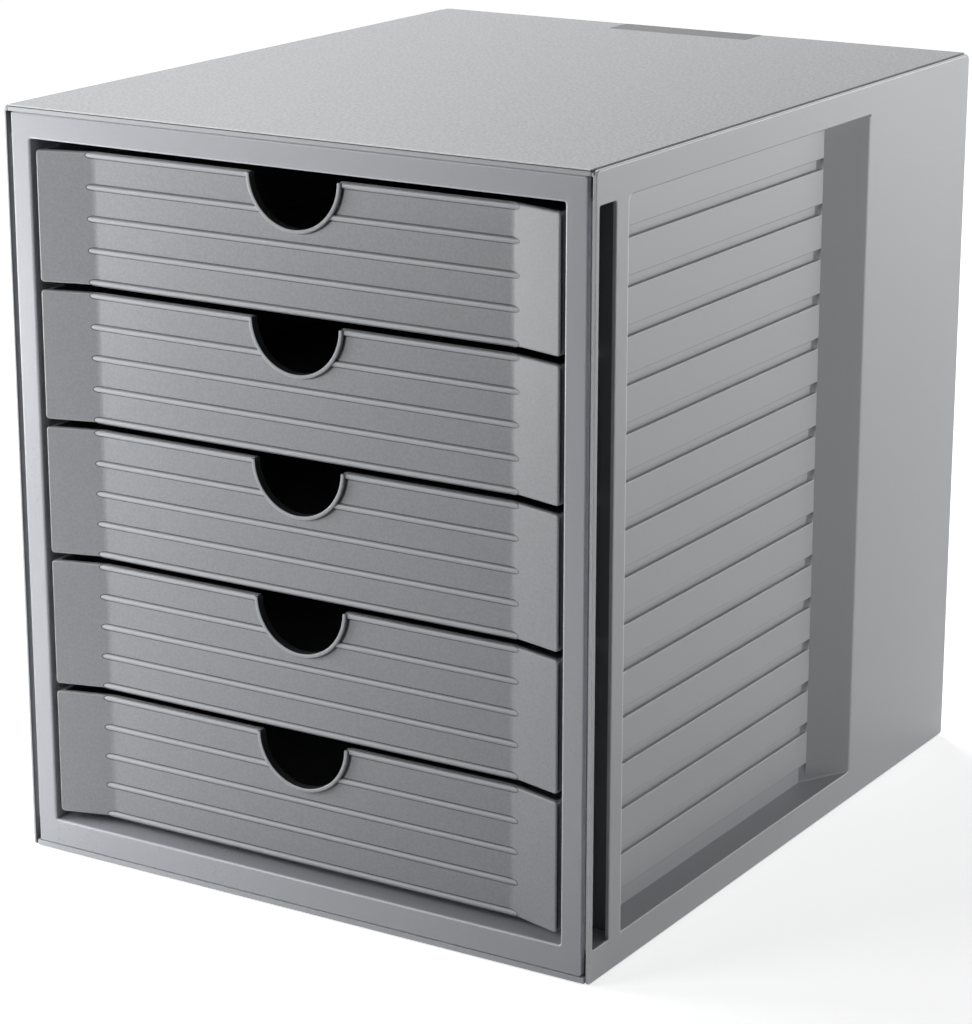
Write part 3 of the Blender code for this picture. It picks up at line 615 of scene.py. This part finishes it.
def build_side_panel():
    """Outer sheet with its rim, the slot, the field on both sides, and the small blocks."""
    skin = Skin()
    inset, depth, edge = quarter_round(PANEL_ROUNDING, 8)
    inner_inset, inner_depth, _ = [part[::-1] for part in quarter_round(INNER_ROUNDING, 5)]
    outline = rounded_loop(*PANEL_OUTLINE, PANEL_RADII, np.concatenate([inset, inner_inset]),
                           steps=8)
    # the inner rounding's last ring is painted dark as shade
    edge = np.concatenate([edge, [0.0] * (len(inner_inset) - 1), [-1.0]])[:, None]
    light_and_shade_scale = np.where(outline[..., 0] < FRONT + 1, END_HIGHLIGHT, 1.0)
    light_and_shade_scale = np.where(outline[..., 1] > TOP - 3, TOP_RIM_HIGHLIGHT, light_and_shade_scale)
    rim = skin.rings(outline, np.concatenate([SHEET_OUT - depth, SHEET_IN + inner_depth]),
                     sideways, edge * np.where(edge > 0, light_and_shade_scale, 1.0))
    inset, depth, edge = quarter_round(LIP, 6)
    outline = rounded_loop(*SLOT, [1.0] * 4, np.append(-inset, 0.0))
    light_and_shade_scale = np.where(outline[..., 0] < SLOT[0] + 0.2, END_HIGHLIGHT, PLAIN_HIGHLIGHT)
    slot = skin.rings(outline, np.append(SHEET_OUT - depth, SHEET_IN), sideways,
                      np.append(edge, 0.0)[:, None] * light_and_shade_scale)
    field = add_field(skin, 0.0, SHEET_OUT, LIP)
    pan = add_field(skin, PANEL_WALL, SHEET_IN, 0.0)
    skin.fill_with_holes([rim[0], slot[0], field], (1, 2))
    skin.fill_with_holes([rim[-1], slot[-1], pan], (1, 2))
    block(skin, *SLOT_SILL, 0.2)
    block(skin, *SLOT_RETURN, 0.2)
    block(skin, *GROOVE_CORNER, 0.1)
    for drawer in range(DRAWER_COUNT):
        middle = FIRST_GROOVE - GROOVE_PITCH / 2 - drawer * DRAWER_PITCH
        block(skin, (STOP_X[0], STOP_Y[0], middle - STOP_HALF),
              (STOP_X[1], STOP_Y[1], middle + STOP_HALF), 0.2)
    return skin


for side, mirror in (("right", False), ("left", True)):
    build_side_panel().piece(f"{side}_side_panel_skin", "housing", satin_shell, "housing_plastic",
                             f"{side}_side_panel", mirror)

# %% [markdown]
# ## The drawer fronts
#
# A front is a plate, two millimetres thick, whose ends slope forward to the bezel. Where slope
# and flat meet, the mould is slightly rounded, so the light changes over a few millimetres and
# not at a line. Its outline has a half-round notch in the top edge for a finger. The plate is a
# stack of such outlines, bent along the slope: front, rounding, edge wall and back.
#
# The five cross ribs are half-ellipses. They run straight on into the slopes, so that each ends
# in a pointed tip by itself, and the upper ones end in the raised rim round the notch. The ribs'
# upper sides and the rim's face carry a painted highlight, and the notch's walls are painted dark
# as shade. A fine line of painted shade runs round the foot of each rib and of the rim, wider on
# the rim's right side as a painted shadow: a strip between two paths that follow the foot,
# thinner than a hair, so that it only draws a line.

# %% Drawer front
DRAWER_HALF, DRAWER_HEIGHT = 122.05, 54.24
DRAWER_CORNER, DRAWER_ROUNDING = 1.5, 0.9
HOLLOW, SLOPE_WIDTH, FOLD = 6.7, 24.1, 1.4
FLAT_HALF = DRAWER_HALF - SLOPE_WIDTH
FRONT_WALL = 2.07
CORNER_POINTS, NOTCH_POINTS, RIM_POINTS, RIB_POINTS = 7, 49, 65, 17
GRIP_RADIUS, RIM_WIDTH, RIM_PROUD, RIM_CREASE = 20.6, 1.6, 1.8, 0.6
NOTCH_RADIUS = GRIP_RADIUS + RIM_WIDTH / 2
# painted shadow: the line beside the rim is wider on its right side
RIM_SHADOW_DROP, RIM_SHADOW_LEFT, RIM_SHADOW_RIGHT = 1.0, 0.3, 1.0
# painted shade on the notch's walls, painted highlights on the rim and ribs
NOTCH_WALL_SHADE, RIM_HIGHLIGHT, RIM_FACE_HIGHLIGHT, RIB_HIGHLIGHT = -1.2, 5.0, 1.5, 2.5
RIM_INNER_ROUNDING, RIM_OUTER_ROUNDING = 0.35, 0.55
RIM_END, RIM_OVERLAP = 0.25, 0.03
RIB_COUNT, RIB_HALF, RIB_PROUD, RIB_INSET = 5, 1.15, 0.9, 1.2
# the ribs' painted highlight is tilted towards their upper side
RIB_ROOT, RIB_HIGHLIGHT_TILT = 1.0, 0.3
RIB_END = FLAT_HALF + 5.0
TIP_REACH = RIB_PROUD * SLOPE_WIDTH / HOLLOW
LINE_PROUD, LINE_ROOT = 0.015, 0.05
LINE_IN, LINE_OUT = -0.15, 0.38
# painted shade in the line round each rib's foot
RIB_FOOT_SHADE = -1.0
FOLD_STATIONS = FLAT_HALF + np.linspace(-FOLD, FOLD, 9)
BOTH_FOLDS = np.concatenate([-FOLD_STATIONS[::-1], FOLD_STATIONS])


def front_y(x):
    """Depth of the front: flat in the middle, then a slope, joined by a parabola.

    Within the fold, b to each side of the corner, the depth falls by the square of the distance
    from the fold's start, over 4 b; beyond it, it falls in a straight line.
    """
    beyond = np.abs(x) - FLAT_HALF + FOLD
    bend = np.clip(beyond, 0, 2 * FOLD)
    straight = np.maximum(beyond - 2 * FOLD, 0)
    return HOLLOW - HOLLOW / SLOPE_WIDTH * (bend ** 2 / (4 * FOLD) + straight)


def on_front(u, v, w):
    """A point of a drawer in its own frame: across, height, and depth behind the front."""
    return join(u, front_y(u) + w, v)


def plate_outline(inset):
    """The front's outline with the folds' points along its edges and the notch in its top."""
    inset = np.atleast_1d(inset)[:, None]
    start = np.arcsin(inset / NOTCH_RADIUS)
    share = np.linspace(0, 1, NOTCH_POINTS)[None, :]
    angle = -start - share * (math.pi - 2 * start)
    notch = join(NOTCH_RADIUS * np.cos(angle), DRAWER_HEIGHT + NOTCH_RADIUS * np.sin(angle))
    high = join(BOTH_FOLDS[::-1], DRAWER_HEIGHT - inset)
    folds = len(FOLD_STATIONS)
    top = np.concatenate([high[:, :folds], notch, high[:, folds:]], axis=1)
    return rounded_loop(-DRAWER_HALF, DRAWER_HALF, 0, DRAWER_HEIGHT, [DRAWER_CORNER] * 4,
                        inset[:, 0], {0: join(BOTH_FOLDS, inset), 2: top})


def fill_plate(skin, ring):
    """Fill one face of the plate: both slopes, the strips of both folds, and the flat middle."""
    corner, folds, notch = CORNER_POINTS, len(FOLD_STATIONS), NOTCH_POINTS
    low = ring[corner:corner + 2 * folds]
    right_end = ring[corner + 2 * folds:3 * corner + 2 * folds]
    top = ring[3 * corner + 2 * folds:-corner]
    high = np.concatenate([top[:folds], top[folds + notch:]])[::-1]
    left_end = np.concatenate([ring[-corner:], ring[:corner]])
    skin.fill(low[0], high[0], left_end)
    skin.fill(right_end, high[-1], low[-1])
    for part in (slice(0, folds), slice(folds, 2 * folds)):
        skin.band(np.stack([low[part], high[part]]), around=False)
    skin.fill(low[folds - 1], low[folds], high[folds], top[folds:folds + notch], high[folds - 1])


def add_plate(skin):
    """The front wall of a drawer."""
    inset, depth, edge = quarter_round(DRAWER_ROUNDING, 5)
    ring = skin.rings(plate_outline(np.append(inset, 0.0)), np.append(depth, FRONT_WALL),
                      on_front, np.append(edge, 0.0))
    fill_plate(skin, ring[0])
    fill_plate(skin, ring[-1])


def notch_circle(height):
    """Distance from the middle at which the circle of the rim crosses a height."""
    return np.sqrt(np.maximum(NOTCH_RADIUS ** 2 - (DRAWER_HEIGHT - height) ** 2, 0))


def add_painted_shade_line(skin, inner, outer, value, closed):
    """A line of painted shade on the front between two paths (points, 2): a strip a hair proud of it.
    """
    rows = np.stack([inner, outer, outer, inner])
    depth = np.array([-LINE_PROUD, -LINE_PROUD, LINE_ROOT, LINE_ROOT])[:, None]
    number = skin.add(on_front(rows[..., 0], rows[..., 1], depth), value)
    skin.band(np.concatenate([number, number[:1]]), around=closed)
    if not closed:
        skin.fill(number[:, 0])
        skin.fill(number[:, -1])


def rib_foot(height, start, offset):
    """The foot of the right half of a rib (points, 2): out above, round the tip, back below.

    The rib's half-ellipse sinks into the slope, so its foot narrows to the tip as an ellipse
    itself; offset moves all of it outwards.
    """
    turn = np.radians(np.linspace(0, 180, RIB_POINTS))
    tip = join(FLAT_HALF + (TIP_REACH + offset) * np.sin(turn),
               height + (RIB_HALF + offset) * np.cos(turn))
    along = np.array([0, FLAT_HALF - FOLD, FLAT_HALF - FOLD / 2])
    foot = np.concatenate([join(along, tip[0, 1]), tip, join(along, tip[-1, 1])[::-1]])
    foot[[0, -1], 0] = [start(foot[end, 1]) for end in (0, -1)]
    return foot


def add_cross_rib(skin, height, ends):
    """A bead on the flat, between two ends across the front, and the line of painted shade round its
    foot.

    An end of "left" or "right" is the circle round the notch, which each point of the section
    meets at its own place: the root of the squared radius less the squared height.
    """
    angle = np.radians(np.linspace(90, -90, RIB_POINTS))
    depth = np.concatenate([HOLLOW - RIB_PROUD * np.cos(angle), [HOLLOW + RIB_ROOT] * 2])
    rise = height + RIB_HALF * np.sin(angle)
    rise = np.concatenate([rise, [rise[-1], rise[0]]])
    meet = {"left": -notch_circle(rise), "right": notch_circle(rise)}
    across = np.stack([meet.get(end, end) + 0 * rise for end in ends])
    # painted highlight, strongest on the rib's upper side
    painted_light_and_shade = np.append(RIB_HIGHLIGHT * np.clip(np.cos(angle - RIB_HIGHLIGHT_TILT), 0, 1), [0, 0])
    number = skin.add(join(across, depth, rise), painted_light_and_shade)
    skin.band(number)
    skin.fill(number[0])
    skin.fill(number[1])

    whole = "left" not in ends and "right" not in ends
    start = (lambda rise: 1.0) if whole else notch_circle
    feet = [rib_foot(height, start, offset) for offset in (LINE_IN, LINE_OUT)]
    if whole:
        feet = [np.concatenate([foot, foot[::-1] * (-1, 1)]) for foot in feet]
    elif "left" in ends:
        feet = [foot * (-1, 1) for foot in feet]
    add_painted_shade_line(skin, *feet, RIB_FOOT_SHADE, whole)


def add_grip_rim(skin):
    """The raised rim: a section of radius and depth carried round the lower half circle."""
    inset, depth, edge = quarter_round(RIM_INNER_ROUNDING, 4)
    outer_inset, outer_depth, _ = quarter_round(RIM_OUTER_ROUNDING, 5)
    face = HOLLOW - RIM_PROUD
    back = HOLLOW + FRONT_WALL + RIM_OVERLAP
    outer = GRIP_RADIUS + RIM_WIDTH
    radius = np.concatenate([[GRIP_RADIUS], GRIP_RADIUS + inset[::-1], outer - outer_inset,
                             [outer, outer - RIM_CREASE, outer - RIM_CREASE]])
    level = np.concatenate([[back], face + depth[::-1], face + outer_depth,
                            [HOLLOW - RIM_CREASE, HOLLOW - 0.8 * RIM_CREASE, back]])
    # painted shade on the notch's wall and the crease, painted highlight on the rim's face
    painted_light_and_shade = np.concatenate([[NOTCH_WALL_SHADE] * 2, np.maximum(RIM_HIGHLIGHT * edge[-2::-1], RIM_FACE_HIGHLIGHT),
                             np.linspace(RIM_FACE_HIGHLIGHT, 0, len(outer_inset)), [NOTCH_WALL_SHADE / 2] * 3])
    start = np.arcsin(RIM_END / radius)[:, None]
    angle = -start - np.linspace(0, 1, RIM_POINTS)[None, :] * (math.pi - 2 * start)
    points = join(radius[:, None] * np.cos(angle), level[:, None],
                  DRAWER_HEIGHT + radius[:, None] * np.sin(angle))
    number = skin.add(points, painted_light_and_shade[:, None])
    skin.band(np.concatenate([number, number[:1]]), around=False)
    skin.fill(number[:, 0])
    skin.fill(number[:, -1])

    # a line of painted shadow round the rim's foot, wider and darker on its right side
    edge_angle = math.asin(RIM_SHADOW_DROP / outer)
    angle = -np.linspace(edge_angle, math.pi - edge_angle, RIM_POINTS)
    reach = RIM_SHADOW_LEFT + (RIM_SHADOW_RIGHT - RIM_SHADOW_LEFT) * np.clip(np.cos(angle), 0, 1)
    circle = join(np.cos(angle), np.sin(angle))
    middle = np.array([0, DRAWER_HEIGHT])
    add_painted_shade_line(skin, middle + (outer + LINE_IN) * circle,
             middle + (outer + reach)[:, None] * circle,
             -np.clip(0.8 + np.cos(angle), 0, -NOTCH_WALL_SHADE), False)


# %% [markdown]
# ## The trays
#
# Behind its front each drawer is an open tray. Its wall has a step: above, it is wider and rests
# with a ledge on the first runner rib, below, it runs between the ribs. That section is carried
# along the tray's two sides and rear, round two corners; the floor closes it. The front ends of
# the wall and floor end inside the front plate.

# %% Drawer tray
TRAY_HALF, TRAY_LENGTH, TRAY_WALL = 122.55, 325.9, 1.8
BAND_STEP, LEDGE = 1.5, 43.94
TRAY_LOW, TRAY_HIGH, FLOOR_FILLET = 0.4, 53.84, 1.5
REAR_RADIUS = 5.0
FLANGE_END = 14.0
TRAY_ROUNDING = 0.4
LUG_Y, LUG_Z = (282.9, 317.9), (31.54, 35.54)


def add_tray(skin):
    """The wall's section along the path, the floor above and below, and the ends in the plate."""
    inset, depth, edge = quarter_round(TRAY_ROUNDING, 4)
    fillet = np.radians(np.linspace(0, 90, 5))
    floor = TRAY_LOW + TRAY_WALL
    out = np.concatenate([
        FLOOR_FILLET * (np.sin(fillet) - 1) - TRAY_WALL, [-TRAY_WALL, BAND_STEP - TRAY_WALL],
        BAND_STEP - TRAY_WALL + inset[::-1], BAND_STEP - inset, [BAND_STEP, 0.0],
        -inset[::-1], [-TRAY_WALL - FLOOR_FILLET]])
    height = np.concatenate([
        floor + FLOOR_FILLET * (1 - np.cos(fillet)), [LEDGE + TRAY_WALL] * 2,
        TRAY_HIGH - depth[::-1], TRAY_HIGH - depth, [LEDGE] * 2,
        TRAY_LOW + depth[::-1], [TRAY_LOW]])
    painted_light_and_shade = np.concatenate([[0] * 7, edge[::-1], edge, [0] * (len(edge) + 3)])
    in_band = np.concatenate([[0] * 6, [1] * (2 * len(edge) + 2), [0] * (len(edge) + 2)])
    flange = out - BAND_STEP * in_band - (TRAY_HALF - DRAWER_HALF)

    turn = np.radians(np.linspace(0, 90, 7))
    arc = join(np.cos(turn), np.sin(turn))
    centre = np.array([TRAY_HALF, TRAY_LENGTH]) - REAR_RADIUS
    path = np.concatenate([join(TRAY_HALF, [FLANGE_END, FLANGE_END + TRAY_ROUNDING]),
                           centre + REAR_RADIUS * arc])
    normal = np.concatenate([[[1, 0], [1, 0]], arc])
    mirror = np.array([-1, 1])
    path = np.concatenate([path, path[::-1] * mirror])
    normal = np.concatenate([normal, normal[::-1] * mirror])

    reach = np.broadcast_to(out, (len(path), len(out))).copy()
    reach[0] = reach[-1] = flange
    place = path[:, None] + normal[:, None] * reach[..., None]
    points = join(place[..., 0], place[..., 1], height)
    front_ends = [points[0].copy(), points[-1].copy()]
    for end in front_ends:
        end[:, 1] = front_y(end[:, 0]) + FRONT_WALL / 2
    points = np.concatenate([[front_ends[0]], points, [front_ends[1]]])
    number = skin.add(points, painted_light_and_shade)
    skin.band(number, around=False)

    rows = np.array([[TRAY_LOW + TRAY_WALL], [TRAY_LOW]])
    front = skin.add(on_front(BOTH_FOLDS[::-1], rows, FRONT_WALL / 2))
    skin.fill(number[::-1, 0], front[0])
    skin.fill(number[::-1, -1], front[1])
    skin.band(front, around=False)
    skin.fill(number[0], front[1, 0], front[0, 0])
    skin.fill(number[-1], front[1, -1], front[0, -1])


def build_drawer(number):
    """One whole drawer, moved to its place in the stack."""
    skin = Skin()
    add_plate(skin)
    pitch = (DRAWER_HEIGHT - 2 * RIB_INSET) / (RIB_COUNT - 1)
    for rib in range(RIB_COUNT):
        height = RIB_INSET + rib * pitch
        if DRAWER_HEIGHT - height > NOTCH_RADIUS + RIM_WIDTH:
            add_cross_rib(skin, height, (-RIB_END, RIB_END))
        else:
            add_cross_rib(skin, height, (-RIB_END, "left"))
            add_cross_rib(skin, height, ("right", RIB_END))
    add_grip_rim(skin)
    add_tray(skin)
    for side in (-1, 1):
        across = sorted((side * (TRAY_HALF - TRAY_WALL / 2), side * (TRAY_HALF + BAND_STEP)))
        block(skin, (across[0], LUG_Y[0], LUG_Z[0]), (across[1], LUG_Y[1], LUG_Z[1]))
    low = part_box(f"drawer_{number}")[0]
    skin.points = [points + (0, low[1] / MM, low[2] / MM) for points in skin.points]
    return skin


for number in range(1, DRAWER_COUNT + 1):
    build_drawer(number).piece(f"drawer_{number}_skin", f"drawer_{number}", grained_drawer,
                               "drawer_plastic", f"drawer_{number}")

# %% [markdown]
# ## Lid, label, floor, back and feet
#
# The lid and the floor are the same sheet, one with a pocket for the label at its rear edge and
# one with four round pockets for the feet. The pocket's sides belong to the outline, so it is
# drawn as a notch in the rear side, and the rings below the pocket close it again. A fine groove
# runs below the rounding of the lid's edge, painted dark as shade, and the lid's side roundings
# are painted dark as shade where they meet the side panels. The lid's front rounding carries a
# painted highlight. The label itself is bare.

# %% Lid and label
SHEET_HALF = 135.2
LID_ROUNDING = 0.45
LID_UNDER = 317.5
# painted highlight on the lid's front rounding, painted shade in the groove below it and at the joints
# with the side panels
LID_FRONT_HIGHLIGHT, LID_GROOVE_SHADE = 4.0, -1.2
LINE_HEIGHTS, LINE_INSETS = (319.5, 319.2, 319.15), (0.3, 0.3, 0.0)
JOINT_SHADE_WIDTH = 0.3
POCKET_HALF, POCKET_FRONT, POCKET_FLOOR = 35.3, 147.2, 319.1
FLANGE_X, FLANGE_HALF = (133.35, 134.95), 135.0
LID_FLANGE, FLOOR_FLANGE = (310.5, 318.5), (2.3, 10.3)
LABEL = (-35.0, 147.5, 319.4), (35.0, REAR, TOP)


def add_flanges(skin, low, high):
    """The two flanges by which a sheet is held inside the side panels."""
    for side in (-1, 1):
        across = sorted(side * x for x in FLANGE_X)
        block(skin, (across[0], -FLANGE_HALF, low), (across[1], FLANGE_HALF, high))


def build_lid():
    """Rings from the top face over the rounding, down past the pocket's floor to the underside."""
    skin = Skin()
    inset, depth, edge = quarter_round(LID_ROUNDING, 5)
    inset = np.concatenate([inset, LINE_INSETS, [0.0] * 3])
    height = np.concatenate([TOP - depth, LINE_HEIGHTS, [POCKET_FLOOR, POCKET_FLOOR, LID_UNDER]])
    deep = np.where(np.arange(len(height)) < len(height) - 2, POCKET_FRONT, REAR)
    x = POCKET_HALF * np.array([1, 1, -1, -1])
    y = join(REAR - inset, deep, deep, REAR - inset)
    outline = rounded_loop(-SHEET_HALF, SHEET_HALF, FRONT, REAR, [0.5] * 4, inset,
                           {2: join(x, y)})
    edge = np.concatenate([edge, [LID_GROOVE_SHADE] * 2, [0.0] * 4])[:, None]
    light_and_shade_scale = np.where(outline[..., 1] < FRONT + 1, LID_FRONT_HIGHLIGHT, 1.0)
    light_and_shade_scale = np.where(np.abs(outline[..., 0]) > SHEET_HALF - JOINT_SHADE_WIDTH, -1.0, light_and_shade_scale)
    number = skin.rings(outline, height, join, edge * np.where(edge > 0, light_and_shade_scale, 1.0))
    skin.fill(number[0])
    skin.fill(number[-1])
    add_flanges(skin, *LID_FLANGE)
    return skin


build_lid().piece("top_panel_skin", "housing", grained_shell, "housing_plastic", "top_panel")
label = Skin()
block(label, *LABEL, 0.2, 4)
label.piece("label_plate_skin", "housing", label_skin, "label_plastic", "label_plate")

# %% Floor, back and feet
FLOOR_LOW, FLOOR_HIGH, FLOOR_ROUNDING = 0.8, 3.3, 0.4
FOOT_POCKET = 0.9
BACK = (-SHEET_HALF, 163.0, 3.6), (SHEET_HALF, REAR, 317.2)
BUFFER_SHARE, BUFFER_HALF, BUFFER_Y, BUFFER_Z = 0.45, 1.0, (161.5, 164.0), (15.6, 305.2)
FOOT_X, FOOT_Y, FOOT_RADIUS, POCKET_GAP = 113.5, 141.0, 8.0, 0.3
FOOT_PLACES = [(f"foot_{end}_{side}", (x * FOOT_X, y * FOOT_Y))
               for end, y in (("front", -1), ("rear", 1)) for side, x in (("left", -1), ("right", 1))]


def disc_outline(centre, radii, steps=48):
    """Circles (rings, points, 2) round one centre."""
    angle = np.linspace(0, 2 * math.pi, steps, endpoint=False)
    radii = np.asarray(radii, float)[:, None]
    return join(centre[0] + radii * np.cos(angle), centre[1] + radii * np.sin(angle))


def build_floor():
    """The floor sheet with the pockets of the feet, and its two flanges."""
    skin = Skin()
    inset, depth, edge = quarter_round(FLOOR_ROUNDING, 4)
    number = skin.rings(rounded_loop(-SHEET_HALF, SHEET_HALF, FRONT, REAR, [0.5] * 4,
                                     np.append(inset, 0.0)),
                        np.append(FLOOR_LOW + depth, FLOOR_HIGH), join, np.append(edge, 0.0))
    pockets = []
    for _, centre in FOOT_PLACES:
        pocket = skin.rings(disc_outline(centre, [FOOT_RADIUS + POCKET_GAP] * 2),
                            [FLOOR_LOW, FLOOR_LOW + FOOT_POCKET], join)
        skin.fill(pocket[1])
        pockets.append(pocket[0])
    skin.fill_with_holes([number[0], *pockets], (0, 1))
    skin.fill(number[-1])
    add_flanges(skin, *FLOOR_FLANGE)
    return skin


def build_back():
    """The rear wall and its two upright buffers."""
    skin = Skin()
    block(skin, *BACK, 0.4)
    for side in (-1, 1):
        middle = side * TRAY_HALF * BUFFER_SHARE
        block(skin, (middle - BUFFER_HALF, BUFFER_Y[0], BUFFER_Z[0]),
              (middle + BUFFER_HALF, BUFFER_Y[1], BUFFER_Z[1]))
    return skin


def build_foot(centre):
    """A rubber disc: circles drawn in at the lower rim, with a shallow dish below."""
    skin = Skin()
    radii = [5.5, 6.3, 7.4, 7.75, 7.93, 8.0, 8.0, 7.8]
    height = [0.25, 0.0, 0.0, 0.06, 0.22, 0.42, 1.25, 1.4]
    edge = [0, 0.3, 0.3, 1, 1, 0.5, 0, 0]
    number = skin.rings(disc_outline(centre, radii), height, join, edge)
    skin.fill(number[0])
    skin.fill(number[-1])
    return skin


build_floor().piece("bottom_panel_skin", "housing", grained_shell, "housing_plastic",
                    "bottom_panel")
build_back().piece("back_panel_skin", "housing", grained_shell, "housing_plastic", "back_panel")
for name, centre in FOOT_PLACES:
    build_foot(centre).piece(name + "_skin", "housing", foot_rubber, "foot_rubber", name)

# %% [markdown]
# ## Floor and light
#
# The picture has a white ground and light that falls softly from the upper left, so the lid
# and the left part of the front are the brightest and the front darkens towards the right.

# %% Floor
FLOOR_HALF = 6.0
NEAR_GLOW, FAR_GLOW = 0.72, 0.96
GLOW_START, GLOW_END = 0.35, 1.4
floor_mesh = bpy.data.meshes.new("floor")
floor_mesh.from_pydata([(x * FLOOR_HALF, y * FLOOR_HALF, 0) for x, y in
                        ((-1, -1), (1, -1), (1, 1), (-1, 1))], [], [(0, 1, 2, 3)])
floor = bpy.data.objects.new("floor", floor_mesh)
bpy.context.scene.collection.objects.link(floor)


def seen_rays(tree):
    """1 for rays from the camera and for those mirrored or let through on their way to it."""
    path = tree.nodes.new("ShaderNodeLightPath")
    rays = [Signal(tree, path.outputs[name]) for name in
            ("Is Camera Ray", "Is Glossy Ray", "Is Transmission Ray")]
    return rays[0].maths("MAXIMUM", rays[0].maths("MAXIMUM", rays[0], rays[1]), rays[2])


floor_material = bpy.data.materials.new("floor_paper")
floor_material.use_nodes = True
paper = floor_material.node_tree
paper.nodes.clear()
rays = seen_rays(paper)
diffuse = rays.node("ShaderNodeBsdfDiffuse", None, {"Color": (0.86, 0.86, 0.865, 1)})
spot = Signal(paper, paper.nodes.new("ShaderNodeTexCoord").outputs["Object"])
away = spot.node("ShaderNodeVectorMath", {"operation": "LENGTH"}, {0: spot}, "Value")
level_there = NEAR_GLOW + (FAR_GLOW - NEAR_GLOW) * away.stretch(GLOW_START, GLOW_END)
glow = rays.node("ShaderNodeEmission", None, {"Color": (1, 1, 1, 1), "Strength": rays * level_there})
both = rays.node("ShaderNodeAddShader", None, {0: diffuse, 1: glow})
paper.links.new(both.socket, paper.nodes.new("ShaderNodeOutputMaterial").inputs["Surface"])
floor_mesh.materials.append(floor_material)
print("ground:", 2 * FLOOR_HALF, "m wide, glowing", NEAR_GLOW, "near the box and", FAR_GLOW, "far off")

# %% Lamps
def lamp(name, place, target, size, power):
    """A square soft box that points at a target, and is itself unseen."""
    data = bpy.data.lights.new(name, "AREA")
    data.shape = "SQUARE"
    data.size = size
    data.energy = power
    item = bpy.data.objects.new(name, data)
    item.location = place
    item.rotation_euler = (Vector(target) - Vector(place)).to_track_quat("-Z", "Y").to_euler()
    item.visible_camera = False
    bpy.context.scene.collection.objects.link(item)
    return item


middle = (0, 0, 0.16)
LAMPS = {
    "back_left": ((-0.9, 0.6, 1.5), 1.0, 20.0),
    "near_left": ((-0.42, -0.30, 0.18), 0.2, 1.5),
    "near_front": ((-0.30, -0.65, 0.40), 0.3, 1.51),
    "low_right": ((1.6, 1.1, 0.25), 0.8, 10.0),
    "back_right": ((1.0, 1.6, 0.4), 0.8, 7.0),
}
for name, (place, size, power) in LAMPS.items():
    lamp(name, place, middle, size, power)

WORLD_LIGHT = 0.02
world = bpy.data.worlds.new("studio")
bpy.context.scene.world = world
world.use_nodes = True
sky = world.node_tree
sky.nodes.clear()
rays = seen_rays(sky)
white = rays.node("ShaderNodeBackground", None, {"Color": (1, 1, 1, 1),
                                                 "Strength": WORLD_LIGHT + (1 - WORLD_LIGHT) * rays})
sky.links.new(white.socket, sky.nodes.new("ShaderNodeOutputWorld").inputs["Surface"])
print("lamps:", ", ".join(f"{name} {power} W" for name, (_, _, power) in LAMPS.items()))
